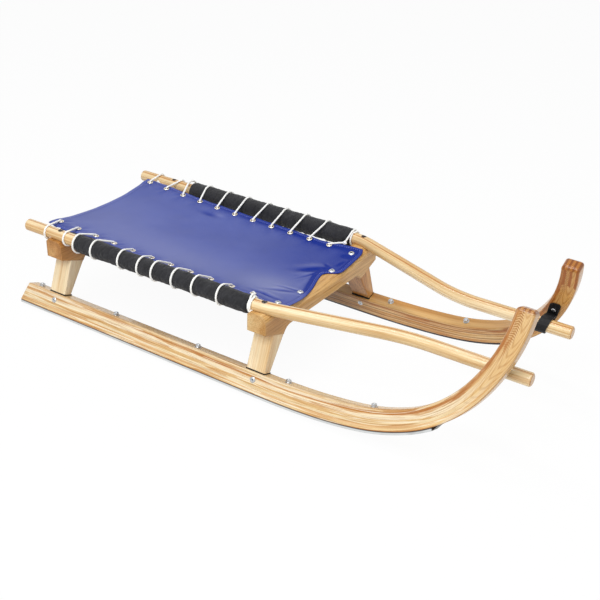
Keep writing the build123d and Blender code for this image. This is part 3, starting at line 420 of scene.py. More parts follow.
def rail_wood():
    """Turned and bent ash rod; the counterbores' rims are a little burnt."""
    p = Paint("rail_wood")
    grain = p.attribute("grain")
    colour, height = fibres(p, grain, ("F5E5C2", "E8CB98", "CD9C5A"), 1.0)
    rings = p.veins(grain, (2.4, 170, 170), detail=3.0, rough=0.6, distortion=0.8)
    colour = p.tint(colour, "C58E4E", rings, 0.53, 0.64, 0.60)
    fine = p.veins(grain, (9.0, 420, 420), rough=0.6)
    colour = p.tint(colour, "BC8749", fine, 0.44, 0.33, 0.5)
    # a painted reflection shows as an orange line along the top, at the same turn round both rails
    layer = p.attribute("layer")
    beside, over = p.split(layer)[0:2]
    sway = p.noise(p.join(p.times(p.split(grain)[0], 9.0), 2.2, 0.4), detail=2.0)
    beside = p.plus(beside, p.times(p.minus(sway, 0.5), 0.26))
    reflected_line = p.times(p.grey(p.absolute(p.plus(beside, 0.30)), 0.16, 0.05), p.grey(over, 0.0, 0.3))
    colour = p.mix(p.times(reflected_line, 0.80), colour, "B06A1E")
    low = p.times(p.grey(p.absolute(p.minus(over, -0.1)), 0.10, 0.03), 0.55)
    colour = p.mix(low, colour, "CC9A5C")
    end = p.absolute(p.minus(p.split(layer)[2], 0.5))
    ends = p.grey(end, 0.4982, 0.4992)
    streaks = p.veins(layer, (7.0, 1.6, 0.1))
    colour = p.mix(ends, colour, p.mix(p.grey(streaks, 0.42, 0.56), "A86F38", "D9AE72"))
    place = p.place()
    burnt = None
    for station in SCREW_STATIONS:
        for side in (1, -1):
            x, y, z = rail_frame(station)[0]
            seat = at(x, y * side, z + RAIL_R)
            gap = p.measured("DISTANCE", place, tuple(seat))
            near = p.grey(gap, 0.0052, 0.0070, 0.95, 0.0)
            burnt = near if burnt is None else p.larger(burnt, near)
    colour = p.mix(burnt, colour, "3A2414")
    return lacquer(p, colour, height, (0.20, 0.32), 0.40)


def bridge_wood(name, lengthways, tones):
    """Solid ash, its grain along the piece given by three row vectors of the mapping."""
    p = Paint(name)
    place = p.place()
    grain = p.join(*[p.measured("DOT_PRODUCT", place, way) for way in lengthways])
    colour, height = fibres(p, grain, tones, 0.8)
    figure = p.veins(grain, (5.0, 90, 130), detail=3.0, rough=0.6, distortion=1.2)
    colour = p.tint(colour, tones[2], figure, 0.52, 0.62, 0.40)
    fine = p.veins(grain, (10.0, 520, 520), detail=3.0, rough=0.7)
    colour = p.tint(colour, tones[3], fine, 0.47, 0.36, 0.70)
    colour = p.tint(colour, tones[0], fine, 0.55, 0.68, 0.40)
    # softened arrises, painted paler along them as a highlight
    soft = p.soft_edges(0.0022, 6)
    flat = p.node("NewGeometry").outputs["Normal"]
    arris_highlight = p.grey(p.measured("DOT_PRODUCT", soft, flat), 0.80, 0.97, 0.35, 0.0)
    colour = p.mix(arris_highlight, colour, tones[0])
    patches = p.noise(place, 16.0, 3.0)
    return p.finish({
        "Base Color": colour, "Roughness": p.grey(patches, 0.3, 0.7, 0.28, 0.44),
        "Normal": p.bump(height, 0.16, 0.0004, soft),
        "Specular IOR Level": 0.20, "Coat Weight": 0.22, "Coat Roughness": 0.07,
    })


# ------------------------------------------------------------------ materials: metal, rubber, cloth, cord
def metal(name, tint, rough, stretch=(60, 60, 60), strength=0.25, flecks=0.25, hollow=(0.03, 0.03, 0.032, 1)):
    """Plated or bare metal; drive recesses and barrels are painted darker, as shade."""
    p = Paint(name)
    place = p.place()
    marks = p.noise(p.scaled(place, stretch), 6.0, 4.0, 0.65)
    patches = p.noise(place, 90.0, 3.0)
    colour = p.mix(p.grey(patches, 0.35, 0.7, 0.0, flecks), tint, (0.30, 0.29, 0.28, 1))
    # painted shade: points flagged as a recess take the hollow colour
    recess = p.split(p.attribute("grain"))[2]
    colour = p.mix(recess, colour, hollow)
    soft = p.soft_edges(0.0006, 4)
    return p.finish({
        "Base Color": colour, "Metallic": 1.0,
        "Roughness": p.grey(marks, 0.3, 0.7, rough - 0.08, rough + 0.14),
        "Normal": p.bump(marks, strength, 0.0002, soft),
    })


def steel_strip():
    """Ground steel: scuffed along its length, dark at the joint with the wood and on its inner side, with
    painted shade on its tapered end.
    """
    p = Paint("steel")
    grain = p.attribute("grain")
    level, side, reach = p.split(p.attribute("layer"))
    scuffs = p.veins(grain, (14, 900, 900), detail=4.0, rough=0.65)
    colour = p.mix(p.grey(scuffs, 0.38, 0.68, 0.0, 0.5), "E2E4E4", "A8AAAA")
    colour = p.tint(colour, "4A3F36", level, 0.62, 0.80, 0.9)
    colour = p.tint(colour, "161618", side, -0.86, -0.95, 0.95)
    # painted shade on the tapered end
    colour = p.tint(colour, "2B211A", reach, 0.985, 0.988)
    soil = p.noise(p.place(), 22.0, 4.0)
    colour = p.tint(colour, "6E6A66", soil, 0.55, 0.75, 0.35)
    return p.finish({
        "Base Color": colour, "Metallic": 1.0, "Roughness": p.grey(scuffs, 0.3, 0.7, 0.24, 0.42),
        "Normal": p.bump(scuffs, 0.25, 0.0002),
    })


def rubber(name, tint, rough=0.55):
    """Dull moulded rubber with a little dust."""
    p = Paint(name)
    place = p.place()
    skin = p.noise(place, 900.0, 3.0, 0.6)
    dust = p.noise(place, 60.0, 4.0, 0.6)
    colour = p.mix(p.grey(dust, 0.48, 0.78, 0.0, 0.30), tint, "3A3A3C")
    soft = p.soft_edges(0.0007, 4)
    return p.finish({
        "Base Color": colour, "Roughness": p.grey(dust, 0.3, 0.7, rough - 0.08, rough + 0.12),
        "Normal": p.bump(skin, 0.35, 0.0003, soft), "Specular IOR Level": 0.25,
    })


def seat_fabric():
    """Coated plain weave, semi-gloss, with painted shade (deeper blue) in its folds and beside the lacing and
    painted highlight where it is paler.
    """
    p = Paint("seat_fabric")
    grain = p.attribute("grain")
    along, across, rim = p.split(grain)
    # fold is painted shade and glow is painted highlight, both from shading()
    fold, glow, _ = p.split(p.attribute("layer"))
    threads = 2 * math.pi / THREAD_PITCH
    warp = p.sine(p.times(along, threads))
    weft = p.sine(p.times(across, threads))
    weave = p.times(warp, weft)
    tone = p.noise(p.place(), 7.0, 4.0, 0.55)
    colour = p.ramp(tone, [(0.30, "394890"), (0.50, "435199"), (0.72, "4F5CA1")])
    # painted highlight where glow is high, then painted shade where fold is high
    colour = p.tint(colour, "8288B4", glow, 0.0, 1.0, 0.80)
    colour = p.tint(colour, "0A2884", fold, 0.0, 1.0)
    # painted shade: a dark line along the hem's inner edge
    seam = p.grey(p.absolute(p.minus(rim, 0.0092)), 0.0010, 0.0004, 0.0, 0.55)
    colour = p.mix(seam, colour, "18246E")
    # painted highlight: a paler band along the turned hem
    hem_highlight = p.grey(p.absolute(p.minus(rim, 0.0034)), 0.0026, 0.0014, 0.0, 0.18)
    colour = p.mix(hem_highlight, colour, "6E7CC4")
    slubs = p.veins(grain, (60, 1400, 1))
    colour = p.tint(colour, "6C75BA", slubs, 0.55, 0.75, 0.16)
    colour = p.mix(p.grey(weave, -1.0, 1.0, 0.16, 0.0), colour, "202A78")
    # painted shade at the very edge of the sheet
    colour = p.tint(colour, "1C1A44", rim, 0.0012, 0.0, 0.60)
    micro = p.noise(p.place(), 260.0, 3.0)
    height = p.plus(p.times(weave, 0.5), p.times(micro, 0.9))
    # the painted shade also dulls the specular
    return p.finish({
        "Base Color": colour, "Roughness": p.grey(tone, 0.3, 0.7, 0.34, 0.46),
        "Specular IOR Level": p.grey(fold, 0.0, 1.0, 0.42, 0.10), "Normal": p.bump(height, 0.20, 0.0004),
    })


def sleeve_fabric():
    """Dark matt twill round the padding."""
    p = Paint("sleeve_fabric")
    grain = p.attribute("grain")
    along, around, _ = p.split(grain)
    pitch = 2 * math.pi / TWILL_PITCH
    twill = p.sine(p.times(p.plus(along, around), pitch))
    cross = p.sine(p.times(p.minus(along, around), pitch * 2.1))
    weave = p.plus(twill, p.times(cross, 0.5))
    tone = p.noise(p.place(), 40.0, 4.0, 0.6)
    colour = p.ramp(tone, [(0.30, "19191C"), (0.52, "222226"), (0.75, "2E2E33")])
    colour = p.mix(p.grey(weave, -1.2, 1.2, 0.35, 0.0), colour, "0C0C0E")
    fluff = p.noise(p.place(), 420.0, 3.0, 0.7)
    colour = p.tint(colour, "56565C", fluff, 0.62, 0.78, 0.22)
    crumple = p.veins(grain, (55, 30, 1), detail=3.0, rough=0.6, distortion=0.6)
    height = p.plus(p.plus(p.times(weave, 0.35), fluff), p.times(crumple, 6.0))
    return p.finish({
        "Base Color": colour, "Roughness": p.grey(crumple, 0.3, 0.7, 0.50, 0.75),
        "Sheen Weight": 0.10, "Sheen Roughness": 0.5,
        "Specular IOR Level": 0.25, "Normal": p.bump(height, 0.5, 0.0005),
    })


def cord_fibre():
    """White braided cord: crossing yarns round the line."""
    p = Paint("cord")
    grain = p.attribute("grain")
    along, turn = p.split(grain)[0:2]
    lay = p.times(along, 2 * math.pi / BRAID_PITCH)
    one = p.sine(p.plus(lay, p.times(turn, 3.0)))
    two = p.sine(p.minus(lay, p.times(turn, 3.0)))
    braid = p.larger(one, two)
    soil = p.noise(p.place(), 50.0, 4.0, 0.6)
    colour = p.mix(p.grey(soil, 0.45, 0.75, 0.0, 0.5), "FFFEFA", "EFEDE6")
    colour = p.mix(p.grey(braid, -0.4, 0.4, 0.22, 0.0), colour, "C9C6BC")
    return p.finish({
        "Base Color": colour, "Roughness": 0.62, "Sheen Weight": 0.2,
        "Normal": p.bump(braid, 0.45, 0.0004),
    })


def thread():
    """Twisted sewing thread, paler than the cloth."""
    p = Paint("thread")
    twist = p.noise(p.place(), 1500.0, 2.0)
    colour = p.mix(p.grey(twist, 0.4, 0.65), "6A74BC", "A4ABDC")
    return p.finish({"Base Color": colour, "Roughness": 0.6, "Normal": p.bump(twist, 0.3, 0.0002)})


# ------------------------------------------------------------------ lines of the runners, rails and cover
def walk(pieces, s):
    """Point and heading at a distance along straight (bend 0) and curved stretches."""
    x = z = heading = 0.0
    for length, bend in pieces:
        step = min(s, length)
        if bend:
            x += (math.sin(heading + bend * step) - math.sin(heading)) / bend
            z += (math.cos(heading) - math.cos(heading + bend * step)) / bend
            heading += bend * step
        else:
            x += math.cos(heading) * step
            z += math.sin(heading) * step
        s -= step
        if s <= 0:
            break
    return x, z, heading


def runner_thickness(s):
    """Height of the runner's section, which tapers towards the horn."""
    tapered = max(0.0, s - TAPER_START) / (SOLE_LENGTH - TAPER_START)
    return RUNNER_HEIGHT + (HORN_THICKNESS - RUNNER_HEIGHT) * tapered


def canted(x, across, above):
    """Place of a point given across and above the sole of the left runner, which leans inwards."""
    return (x, TRACK_HALF + across * COS_CANT - above * SIN_CANT,
            SOLE_HEIGHT + across * SIN_CANT + above * COS_CANT)


def on_runner(s, across, above):
    """Point of the left runner at a distance along its sole."""
    x, z, heading = walk(SOLE, s)
    return canted(RUNNER_REAR + x - math.sin(heading) * above, across, z + math.cos(heading) * above)


def rail_frame(s):
    """Centre of the left rail at a distance along it, with its two cross directions."""
    x, y, heading = walk(RAIL, s)
    cr, sr = math.cos(RAIL_ROLL), math.sin(RAIL_ROLL)
    ch, sh = math.cos(heading), math.sin(heading)
    centre = Vector((x, RAIL_HALF_SPACING + y * cr, RAIL_HEIGHT + y * sr))
    return centre, Vector((-sh, ch * cr, ch * sr)), Vector((0, -sr, cr))


def cover_on_bridge(y):
    """Height of the cover where it lies on the front bridge."""
    return TOP_CENTRE_Z - math.sqrt(COVER_TOP_R ** 2 - y ** 2)


def row_offset(x):
    """From the middle line to the row of eyelets."""
    return ROW_REAR + (ROW_FRONT - ROW_REAR) * min(1.0, (x - EYELET_FIRST) / (EYELET_LAST - EYELET_FIRST))


def taut_height(x):
    """Height of the row of eyelets, drawn down between its two ends."""
    f = (x - EYELET_FIRST) / (EYELET_LAST - EYELET_FIRST)
    return RAIL_HEIGHT + 7.8 - 16.2 * f - ROW_SAG * 4 * f * (1 - f)


def row_height(x):
    """Height of the line of the row, on from the last eyelet to the front bridge."""
    if x <= ROW_END:
        return taut_height(x)
    onto = min(1.0, (x - ROW_END) / (ON_BRIDGE - ROW_END))
    return taut_height(ROW_END) + (cover_on_bridge(row_offset(x)) - taut_height(ROW_END)) * onto


def seat_height(x):
    """Height of the cover on the middle line."""
    rear, front = RAIL_HEIGHT + 2.2, cover_on_bridge(0)
    f = min(1.0, (x - COVER_REAR) / (ON_BRIDGE - COVER_REAR))
    curve = 2 * (rear + front) - 4 * (RAIL_HEIGHT - 19.5)
    return rear + (front - rear - curve) * f + curve * f * f


def cover_height(x, y):
    """Height of the taut cover, before any fold."""
    if x >= ON_BRIDGE:
        return cover_on_bridge(y)
    middle = seat_height(x)
    return middle + (row_height(x) - middle) * (y / row_offset(x)) ** 2


def cover_normal(x, y):
    """Direction straight out of the taut cover's upper face."""
    along = (cover_height(x + 1, y) - cover_height(x - 1, y)) / 2
    across = (cover_height(x, y + 1) - cover_height(x, y - 1)) / 2
    return Vector((-along, -across, 1)).normalized()


def eyelet_x(i):
    return EYELET_FIRST + i * EYELET_PITCH


def eyelet_number(x):
    """Whole at an eyelet, and half way between two of them at a half."""
    return (x - EYELET_FIRST) / EYELET_PITCH


def eyelet_places():
    return [(eyelet_x(i), row_offset(eyelet_x(i))) for i in range(EYELETS)]


# ------------------------------------------------------------------ mesh building
def plain_mesh(name, verts, faces):
    """Mesh in metres from mm points."""
    mesh = bpy.data.meshes.new(name)
    mesh.from_pydata([at(*v) for v in verts], [], faces)
    return mesh


def face_outwards(mesh):
    """Turns the faces outwards; attributes have to be on the mesh by then, or the rails' cuts lose them."""
    shape = bmesh.new()
    shape.from_mesh(mesh)
    bmesh.ops.recalc_face_normals(shape, faces=shape.faces)
    shape.to_mesh(mesh)
    shape.free()


def build(name, verts, faces, material, values=None, sharp=40, extra=None):
    """Mesh object in metres from mm points, smooth except at sharp edges, riding on the sled."""
    mesh = plain_mesh(name, verts, faces)
    for label, rows in (("grain", values), ("layer", extra)):
        if rows:
            layer = mesh.attributes.new(label, "FLOAT_VECTOR", "POINT")
            layer.data.foreach_set("vector", [c for row in rows for c in row])
    face_outwards(mesh)
    mesh.shade_smooth()
    mesh.set_sharp_from_angle(angle=math.radians(sharp))
    mesh.materials.append(material)
    obj = placed(name, mesh)
    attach(obj, "root")
    return obj


def circle(centre, one, two, r, sides):
    """Points round a centre, in the plane of two directions."""
    turns = [2 * math.pi * j / sides for j in range(sides)]
    return [centre + (one * math.cos(turn) + two * math.sin(turn)) * r for turn in turns]


def tube_faces(rings, around, caps=True, closed=False):
    """Quads between rings of points that are stored one after another."""
    faces = []
    spans = rings if closed else rings - 1
    for k in range(spans):
        here, there = k * around, (k + 1) % rings * around
        for j in range(around):
            n = (j + 1) % around
            faces.append((here + j, here + n, there + n, there + j))
    if caps:
        faces.append(tuple(range(around)))
        faces.append(tuple(range((rings - 1) * around, rings * around)))
    return faces


def rounded_section(half, low, high, r):
    """Closed outline of a rectangle with rounded corners, with a support point beside each rounding."""
    points = []
    corners = ((half - r, low + r, -90), (half - r, high - r, 0),
               (-half + r, high - r, 90), (-half + r, low + r, 180))
    for k, (cx, cy, start) in enumerate(corners):
        arc = [(cx + r * math.cos(math.radians(start + a)), cy + r * math.sin(math.radians(start + a)))
               for a in (0, 22.5, 45, 67.5, 90)]
        nx, ny, nstart = corners[(k + 1) % 4]
        after = (nx + r * math.cos(math.radians(nstart)), ny + r * math.sin(math.radians(nstart)))
        end = arc[-1]
        points += arc
        for f in (0.08, 0.36, 0.64, 0.92):
            points.append((end[0] + (after[0] - end[0]) * f, end[1] + (after[1] - end[1]) * f))
    return points


def lathe(profile, foot, direction, sides=24, ring=False):
    """Points and faces of a turned shape: (radius, height) pairs round a direction from a foot.

    A ring's profile closes on itself; any other shape is capped at both ends.
    """
    up = Vector(direction).normalized()
    one = up.orthogonal().normalized()
    two = up.cross(one)
    verts = []
    for radius, height in profile:
        verts += circle(Vector(foot) + up * height, one, two, radius, sides)
    return verts, tube_faces(len(profile), sides, caps=not ring, closed=ring)


class Pile:
    """Several small shapes gathered into one mesh."""

    def __init__(self):
        self.verts, self.faces, self.values = [], [], []

    def add(self, verts, faces, hollow=0, mirror=False):
        """Adds a shape; its first points, as many as hollow says, belong to a recess, which the metal paints
        dark as shade.
        """
        start = len(self.verts)
        for i, v in enumerate(verts):
            self.verts.append((v[0], -v[1] if mirror else v[1], v[2]))
            self.values.append((0.0, 0.0, 1.0 if i < hollow else 0.0))
        self.faces += [tuple(start + i for i in face) for face in faces]

    def make(self, name, material, sharp=35):
        return build(name, self.verts, self.faces, material, self.values, sharp)


# ------------------------------------------------------------------ runners and rails
def make_runner(name, side, material):
    """Swept section with rounded arrises, slanted rear end and rounded horn tip."""
    ease, tip = 1.6, HORN_CORNER + TIP_EASE
    stations = [0.0, 0.6, ease]
    stations += [ease + (640 - ease) * i / 50 for i in range(1, 51)]
    bend_end = SOLE_LENGTH - tip
    stations += [640 + (bend_end - 640) * i / 150 for i in range(1, 151)]
    stations += [SOLE_LENGTH - tip * (1 - math.sin(math.radians(a))) for a in (15, 30, 45, 60, 72, 82, 90)]
    verts, grain, layer = [], [], []
    for s in stations:
        thick = runner_thickness(s)
        from_tip = max(0.0, SOLE_LENGTH - s)
        inset = tip - math.sqrt(tip ** 2 - (tip - from_tip) ** 2) if from_tip < tip else 0.0
        rear = ease - math.sqrt(max(0.0, ease ** 2 - (ease - s) ** 2)) if s < ease else 0.0
        half = RUNNER_WIDTH / 2 - rear - inset
        arris = ARRIS + (HORN_ARRIS - ARRIS) * clamped((s / SOLE_LENGTH - 0.78) / 0.14)
        slant = REAR_SLANT * max(0.0, 1 - s / 90)
        for across, above in rounded_section(half, rear + inset, thick - rear - inset, arris):
            x, y, z = on_runner(s, across, above)
            verts.append((x + slant * above / RUNNER_HEIGHT, side * y, z))
            grain.append((s / 1000, across / 1000 + 0.1 * side, above / 1000))
            layer.append((above / thick, across / RUNNER_WIDTH * 2, s / SOLE_LENGTH))
    faces = tube_faces(len(stations), len(verts) // len(stations))
    return build(name, verts, faces, material, grain, 50, layer)


def make_steel(name, side, material):
    """Flat steel under the runner, tapered out on the bend."""
    turned, end = 0.0, 0.0
    for length, bend in SOLE:
        if turned + math.degrees(length * bend) >= STEEL_BEND:
            end += math.radians(STEEL_BEND - turned) / bend
            break
        turned += math.degrees(length * bend)
        end += length
    stations = [0.0, 0.5] + [0.5 + 640 * i / 40 for i in range(1, 41)]
    stations += [640.5 + (end - STEEL_TIP - 640.5) * i / 70 for i in range(1, 71)]
    stations += [end - STEEL_TIP * f for f in (0.75, 0.5, 0.25, 0.08, 0.0)]
    verts, grain, layer = [], [], []
    for s in stations:
        deep = STEEL_THICKNESS * min(1.0, max(0.12, (end - s) / STEEL_TIP))
        trim = 0.4 if s == 0.0 else 0.0
        section = rounded_section(STEEL_WIDTH / 2 - trim, trim - deep, -trim, min(1.0, deep * 0.3))
        for across, above in section:
            x, y, z = on_runner(s, across, above)
            verts.append((x, side * y, z))
            grain.append((s / 1000, across / 1000, above / 1000))
            layer.append((1 + above / STEEL_THICKNESS, across / STEEL_WIDTH * 2, s / end))
    faces = tube_faces(len(stations), len(verts) // len(stations))
    return build(name, verts, faces, material, grain, 45, layer)


def make_rail(name, side, material):
    """Round rod with eased ends, counterbored over each bridge."""
    ends = [(0.0, RAIL_R - 4.2), (0.0, RAIL_R - RAIL_CHAMFER - 0.5), (0.15, RAIL_R - RAIL_CHAMFER),
            (RAIL_CHAMFER - 0.3, RAIL_R - 0.25), (RAIL_CHAMFER + 0.4, RAIL_R)]
    middle = [(6 + (RAIL_LENGTH - 12) * i / 190, RAIL_R) for i in range(191)]
    stations = ends + middle + [(RAIL_LENGTH - s, r) for s, r in reversed(ends)]
    verts, grain, layer = [], [], []
    for s, r in stations:
        centre, left, up = rail_frame(s)
        for j in range(RAIL_SIDES):
            turn = 2 * math.pi * j / RAIL_SIDES
            a, b = r * math.cos(turn), r * math.sin(turn)
            spot = centre + left * a + up * b
            verts.append((spot.x, side * spot.y, spot.z))
            grain.append((s / 1000, a / 1000 + 0.05 * side, b / 1000))
            layer.append((side * a / RAIL_R, b / RAIL_R, s / RAIL_LENGTH))
    obj = build(name, verts, tube_faces(len(stations), RAIL_SIDES), material, grain, 42, layer)
    for station in SCREW_STATIONS:
        centre = rail_frame(station)[0]
        foot = (centre.x, side * centre.y, centre.z + RAIL_R - COUNTERBORE_DEPTH)
        r, deep = COUNTERBORE_R, COUNTERBORE_DEPTH
        profile = [(r, 0.0), (r, deep - 0.9), (r + 0.9, deep + 0.2), (r + 0.9, deep + 9)]
        cutter = placed("cutter", plain_mesh("cutter", *lathe(profile, foot, (0, 0, 1), 28)))
        face_outwards(cutter.data)
        cut = obj.modifiers.new("bore", "BOOLEAN")
        cut.object, cut.solver, cut.operation = cutter, "EXACT", "DIFFERENCE"
        apply_modifiers(obj)
        bpy.data.objects.remove(cutter)
    obj.data.set_sharp_from_angle(angle=math.radians(42))
    return obj


def apply_modifiers(obj):
    """Bakes an object's modifiers into its mesh."""
    graph = bpy.context.evaluated_depsgraph_get()
    baked = bpy.data.meshes.new_from_object(obj.evaluated_get(graph))
    old = obj.data
    obj.modifiers.clear()
    obj.data = baked
    bpy.data.meshes.remove(old)


# ------------------------------------------------------------------ seat cover
def hem_front(y):
    """Front edge: drawn back between the inner screws, most a little left of the middle."""
    notch = 1 / (1 + math.exp((y - 51) / 4.5))
    bay = 30.0 * notch * math.exp(-(max(0.0, 36 - y) / 72) ** 1.5)
    corner = 8.0 * (max(0.0, y - 138) / 22) ** 2
    return COVER_FRONT + 3.0 + 3.0 * clamped(-y / 90) - bay - corner


def hem_rear(y):
    """Rear edge, drawn a little forward between the two rails."""
    return COVER_REAR - 5.0 + 8.0 * (1 - (y / 150) ** 2)


def half_width(x, side=1):
    """From the middle line to the side edge; wider behind the sleeves and on the front bridge."""
    onto = clamped((x - 560) / 60)
    rear = bell((x - 80) / 55) * (5.0 if side > 0 else 9.0)
    front = FRONT_FLAP + (LEFT_FLAP if side > 0 else 0.0)
    narrow = 4.0 * bell((x - 545) / 45) if side > 0 else 0.0
    return row_offset(x) + FLAP + rear + (front - FLAP) * onto * onto * (3 - 2 * onto) - edge_draw(x) - narrow


def edge_draw(x):
    """How far the side edge curves in between two eyelets."""
    f = eyelet_number(x)
    if f < 0 or f > EYELETS - 1:
        return 0.8
    return 0.9 * math.sin(math.pi * (f % 1.0)) ** 2


def fold_depth(x, y):
    """Depth in mm of the creases' valleys at a place, and how near it is to a ridge beside one."""
    valley = ridge = 0.0
    for (sx, sy), (wx, wy), reach, breadth, depth in CREASES:
        length = math.hypot(wx, wy)
        along = ((x - sx) * wx + (y - sy) * wy) / length
        off = ((y - sy) * wx - (x - sx) * wy) / length
        if -8 < along < 2 * reach:
            fade = bell((along - 0.35 * reach) / (0.55 * reach))
            valley += depth * fade * bell(off / breadth)
            ridge += depth * fade * bell((abs(off) - 2.0 * breadth) / breadth)
    return valley, ridge


def shading(x, y):
    """Painted shade where the cloth is deeper blue (folds, beside the lacing) and painted highlight where it
    is paler.
    """
    valley, ridge = fold_depth(x, y)
    # fold: painted shade in the creases, the front hem's bay, beside the lacing, in the dimple, between the
    # eyelets and towards the front
    fold = 0.42 * valley
    rim = hem_front(y) - x
    if rim < 24 and y < 62:
        fold += 1.1 * bell(max(0.0, rim - 13) / 4) * bell(max(0.0, abs(y + 6) - 30) / 20)
    if rim < 12:
        fold += 0.25
    beside = half_width(x, y) - abs(y)
    if y > 0:
        band = bell(max(0.0, beside - 6) / 13)
        fold += band * (0.45 + 0.50 * clamped((x - 150) / 200))
        dx, dy = (x - DIMPLE[0]) / 26, (y - DIMPLE[1]) / 8
        fold += 0.7 * bell(dx, dy)
    else:
        band = bell(max(0.0, beside - 6) / 16)
        fold += band * 0.5
    if x > ON_BRIDGE - 20:
        fold += (0.26 if y > 0 else 0.12) * min(1.0, (x - ON_BRIDGE + 20) / 30)
    f = eyelet_number(x)
    waves = 0.5 + 0.5 * math.cos(2 * math.pi * f)
    fold += 0.18 * waves * bell((abs(y) - row_offset(x) + 16) / 14)
    middle = bell((x - 330) / 190, (y + 85) / 60)
    rear = bell((x - 110) / 90, (y + 20) / 100)
    fold += 0.48 * clamped((x - 430) / 110) * clamped((y + 30) / 80)
    near_front = bell((x - 560) / 60, (y + 70) / 45)
    # glow: painted highlight in the middle, at the rear, on the creases' ridges, near the front and on the
    # dimple's rim
    glow = 0.42 * middle + 0.22 * rear + 0.30 * ridge + 0.65 * near_front
    glow += 0.5 * bell((x - DIMPLE[0] - 22) / 14, (y - DIMPLE[1] - 6) / 6)
    return min(1.0, fold), min(1.0, glow)


def cloth_relief(x, y):
    """Height of the folds, pulls and soft waves over the taut surface."""
    rise = 0.9 * noise.noise(Vector((x / 95, y / 70, 1.3))) + 0.3 * noise.noise(Vector((x / 34, y / 30, 7.9)))
    rise += 0.5 * noise.noise(Vector((x / 52, y / 40, 3.1)))
    reach = abs(y)
    row = row_offset(x)
    to_row = row - reach
    # the rear edge hangs a little lower between the rails
    rise -= 4.0 * max(0.0, 1 - (y / row) ** 4) * bell(max(0.0, x - COVER_REAR) / 130)
    if reach > row and x < 160:
        rise -= 0.012 * (reach - row) ** 2 * bell((x - COVER_REAR) / 90)
    # short radiating pulls inward of each eyelet
    f = eyelet_number(x)
    i = min(EYELETS - 1, max(0, round(f)))
    dx = x - eyelet_x(i)
    gap = math.hypot(dx, to_row)
    if to_row > -9 and gap < 45:
        spread = math.atan2(dx, max(0.5, to_row + 6))
        rise += 0.55 * math.cos(spread * 7 + i) * bell((gap - 14) / 13)
        rise -= 0.5 * bell(gap / 7)
    # a soft dimple on the left side, half way along
    dx, dy = x - DIMPLE[0], y - DIMPLE[1]
    rise -= 1.8 * bell(dx / 24, dy / 9)
    rise += 1.0 * bell((dx - 24) / 18, (dy - 8) / 8)
    valley, ridge = fold_depth(x, y)
    rise += 0.6 * ridge - valley
    return rise


def make_seat(material):
    """One sheet with turned hems, holes under the eyelets and folds where it is pulled."""
    verts, values, tones, index = [], [], [], {}
    places = eyelet_places()

    def spot(u, v, under):
        """Point of the cloth, its grain and its painted shade and highlight; u runs from rear to front, v
        from right to left.
        """
        half0 = half_width(COVER_FRONT)
        rear = hem_rear(v * half0)
        x = rear + u * (hem_front(v * half0) - rear)
        half = half_width(x, v)
        y = v * half
        rim = min((1 - abs(v)) * half, u * SHEET_FROM_REAR, (1 - u) * SHEET_FROM_FRONT)
        normal = cover_normal(x, y)
        fade = clamped((ON_BRIDGE - 4 - x) / 18) if abs(y) < 160 else 1.0
        relief = cloth_relief(x, y) * (0.35 + 0.65 * fade)
        hem = HEM_RISE if rim < HEM_DEPTH else HEM_RISE * max(0.0, 1 - (rim - HEM_DEPTH) / 1.6)
        seam = 0.35 * bell((rim - STITCH_INSET) / 0.9)
        edge = max(0.0, 1 - rim / 1.2) ** 2 * 0.6
        if x > ON_BRIDGE - 6:
            relief = max(relief, -0.15)
        lift = relief + hem * 0.6 - seam - edge
        if under:
            lift = relief * 0.9 - (COVER_THICKNESS - 0.1) + edge * 0.5
            if x > ON_BRIDGE - 2:
                lift = max(lift, -(COVER_THICKNESS + 0.05))
        point = Vector((x, y, cover_height(x, y))) + normal * lift
        return point, (x / 1000, y / 1000, rim / 1000), (*shading(x, y), 0.0)

    def holed(i, j):
        """Whether a cell of the grid lies inside an eyelet."""
        u, v = (i + 0.5) / COLUMNS, 2 * (j + 0.5) / ROWS - 1
        point = spot(u, v, False)[0]
        k = min(EYELETS - 1, max(0, round(eyelet_number(point.x))))
        return math.hypot(point.x - places[k][0], abs(point.y) - places[k][1]) < CLOTH_HOLE_R

    for under in (False, True):
        for i in range(COLUMNS + 1):
            for j in range(ROWS + 1):
                point, value, tone = spot(i / COLUMNS, 2 * j / ROWS - 1, under)
                index[under, i, j] = len(verts)
                verts.append(tuple(point))
                values.append(value)
                tones.append(tone)
    faces = []
    holes = {(i, j) for i in range(COLUMNS) for j in range(ROWS) if holed(i, j)}
    for i in range(COLUMNS):
        for j in range(ROWS):
            if (i, j) in holes:
                for di, dj, a, b in ((-1, 0, (i, j), (i, j + 1)), (1, 0, (i + 1, j), (i + 1, j + 1)),
                                     (0, -1, (i, j), (i + 1, j)), (0, 1, (i, j + 1), (i + 1, j + 1))):
                    if (i + di, j + dj) not in holes:
                        faces.append((index[False, *a], index[False, *b], index[True, *b], index[True, *a]))
                continue
            for under in (False, True):
                faces.append((index[under, i, j], index[under, i + 1, j],
                              index[under, i + 1, j + 1], index[under, i, j + 1]))
    rim_loop = [(i, 0) for i in range(COLUMNS)] + [(COLUMNS, j) for j in range(ROWS)]
    rim_loop += [(i, ROWS) for i in range(COLUMNS, 0, -1)] + [(0, j) for j in range(ROWS, 0, -1)]
    for a, b in zip(rim_loop, rim_loop[1:] + rim_loop[:1]):
        faces.append((index[False, *a], index[False, *b], index[True, *b], index[True, *a]))
    # tones carries the painted shade and painted highlight from shading()
    obj = build("seat_sheet", verts, faces, material, values, 60, tones)
    return obj, spot


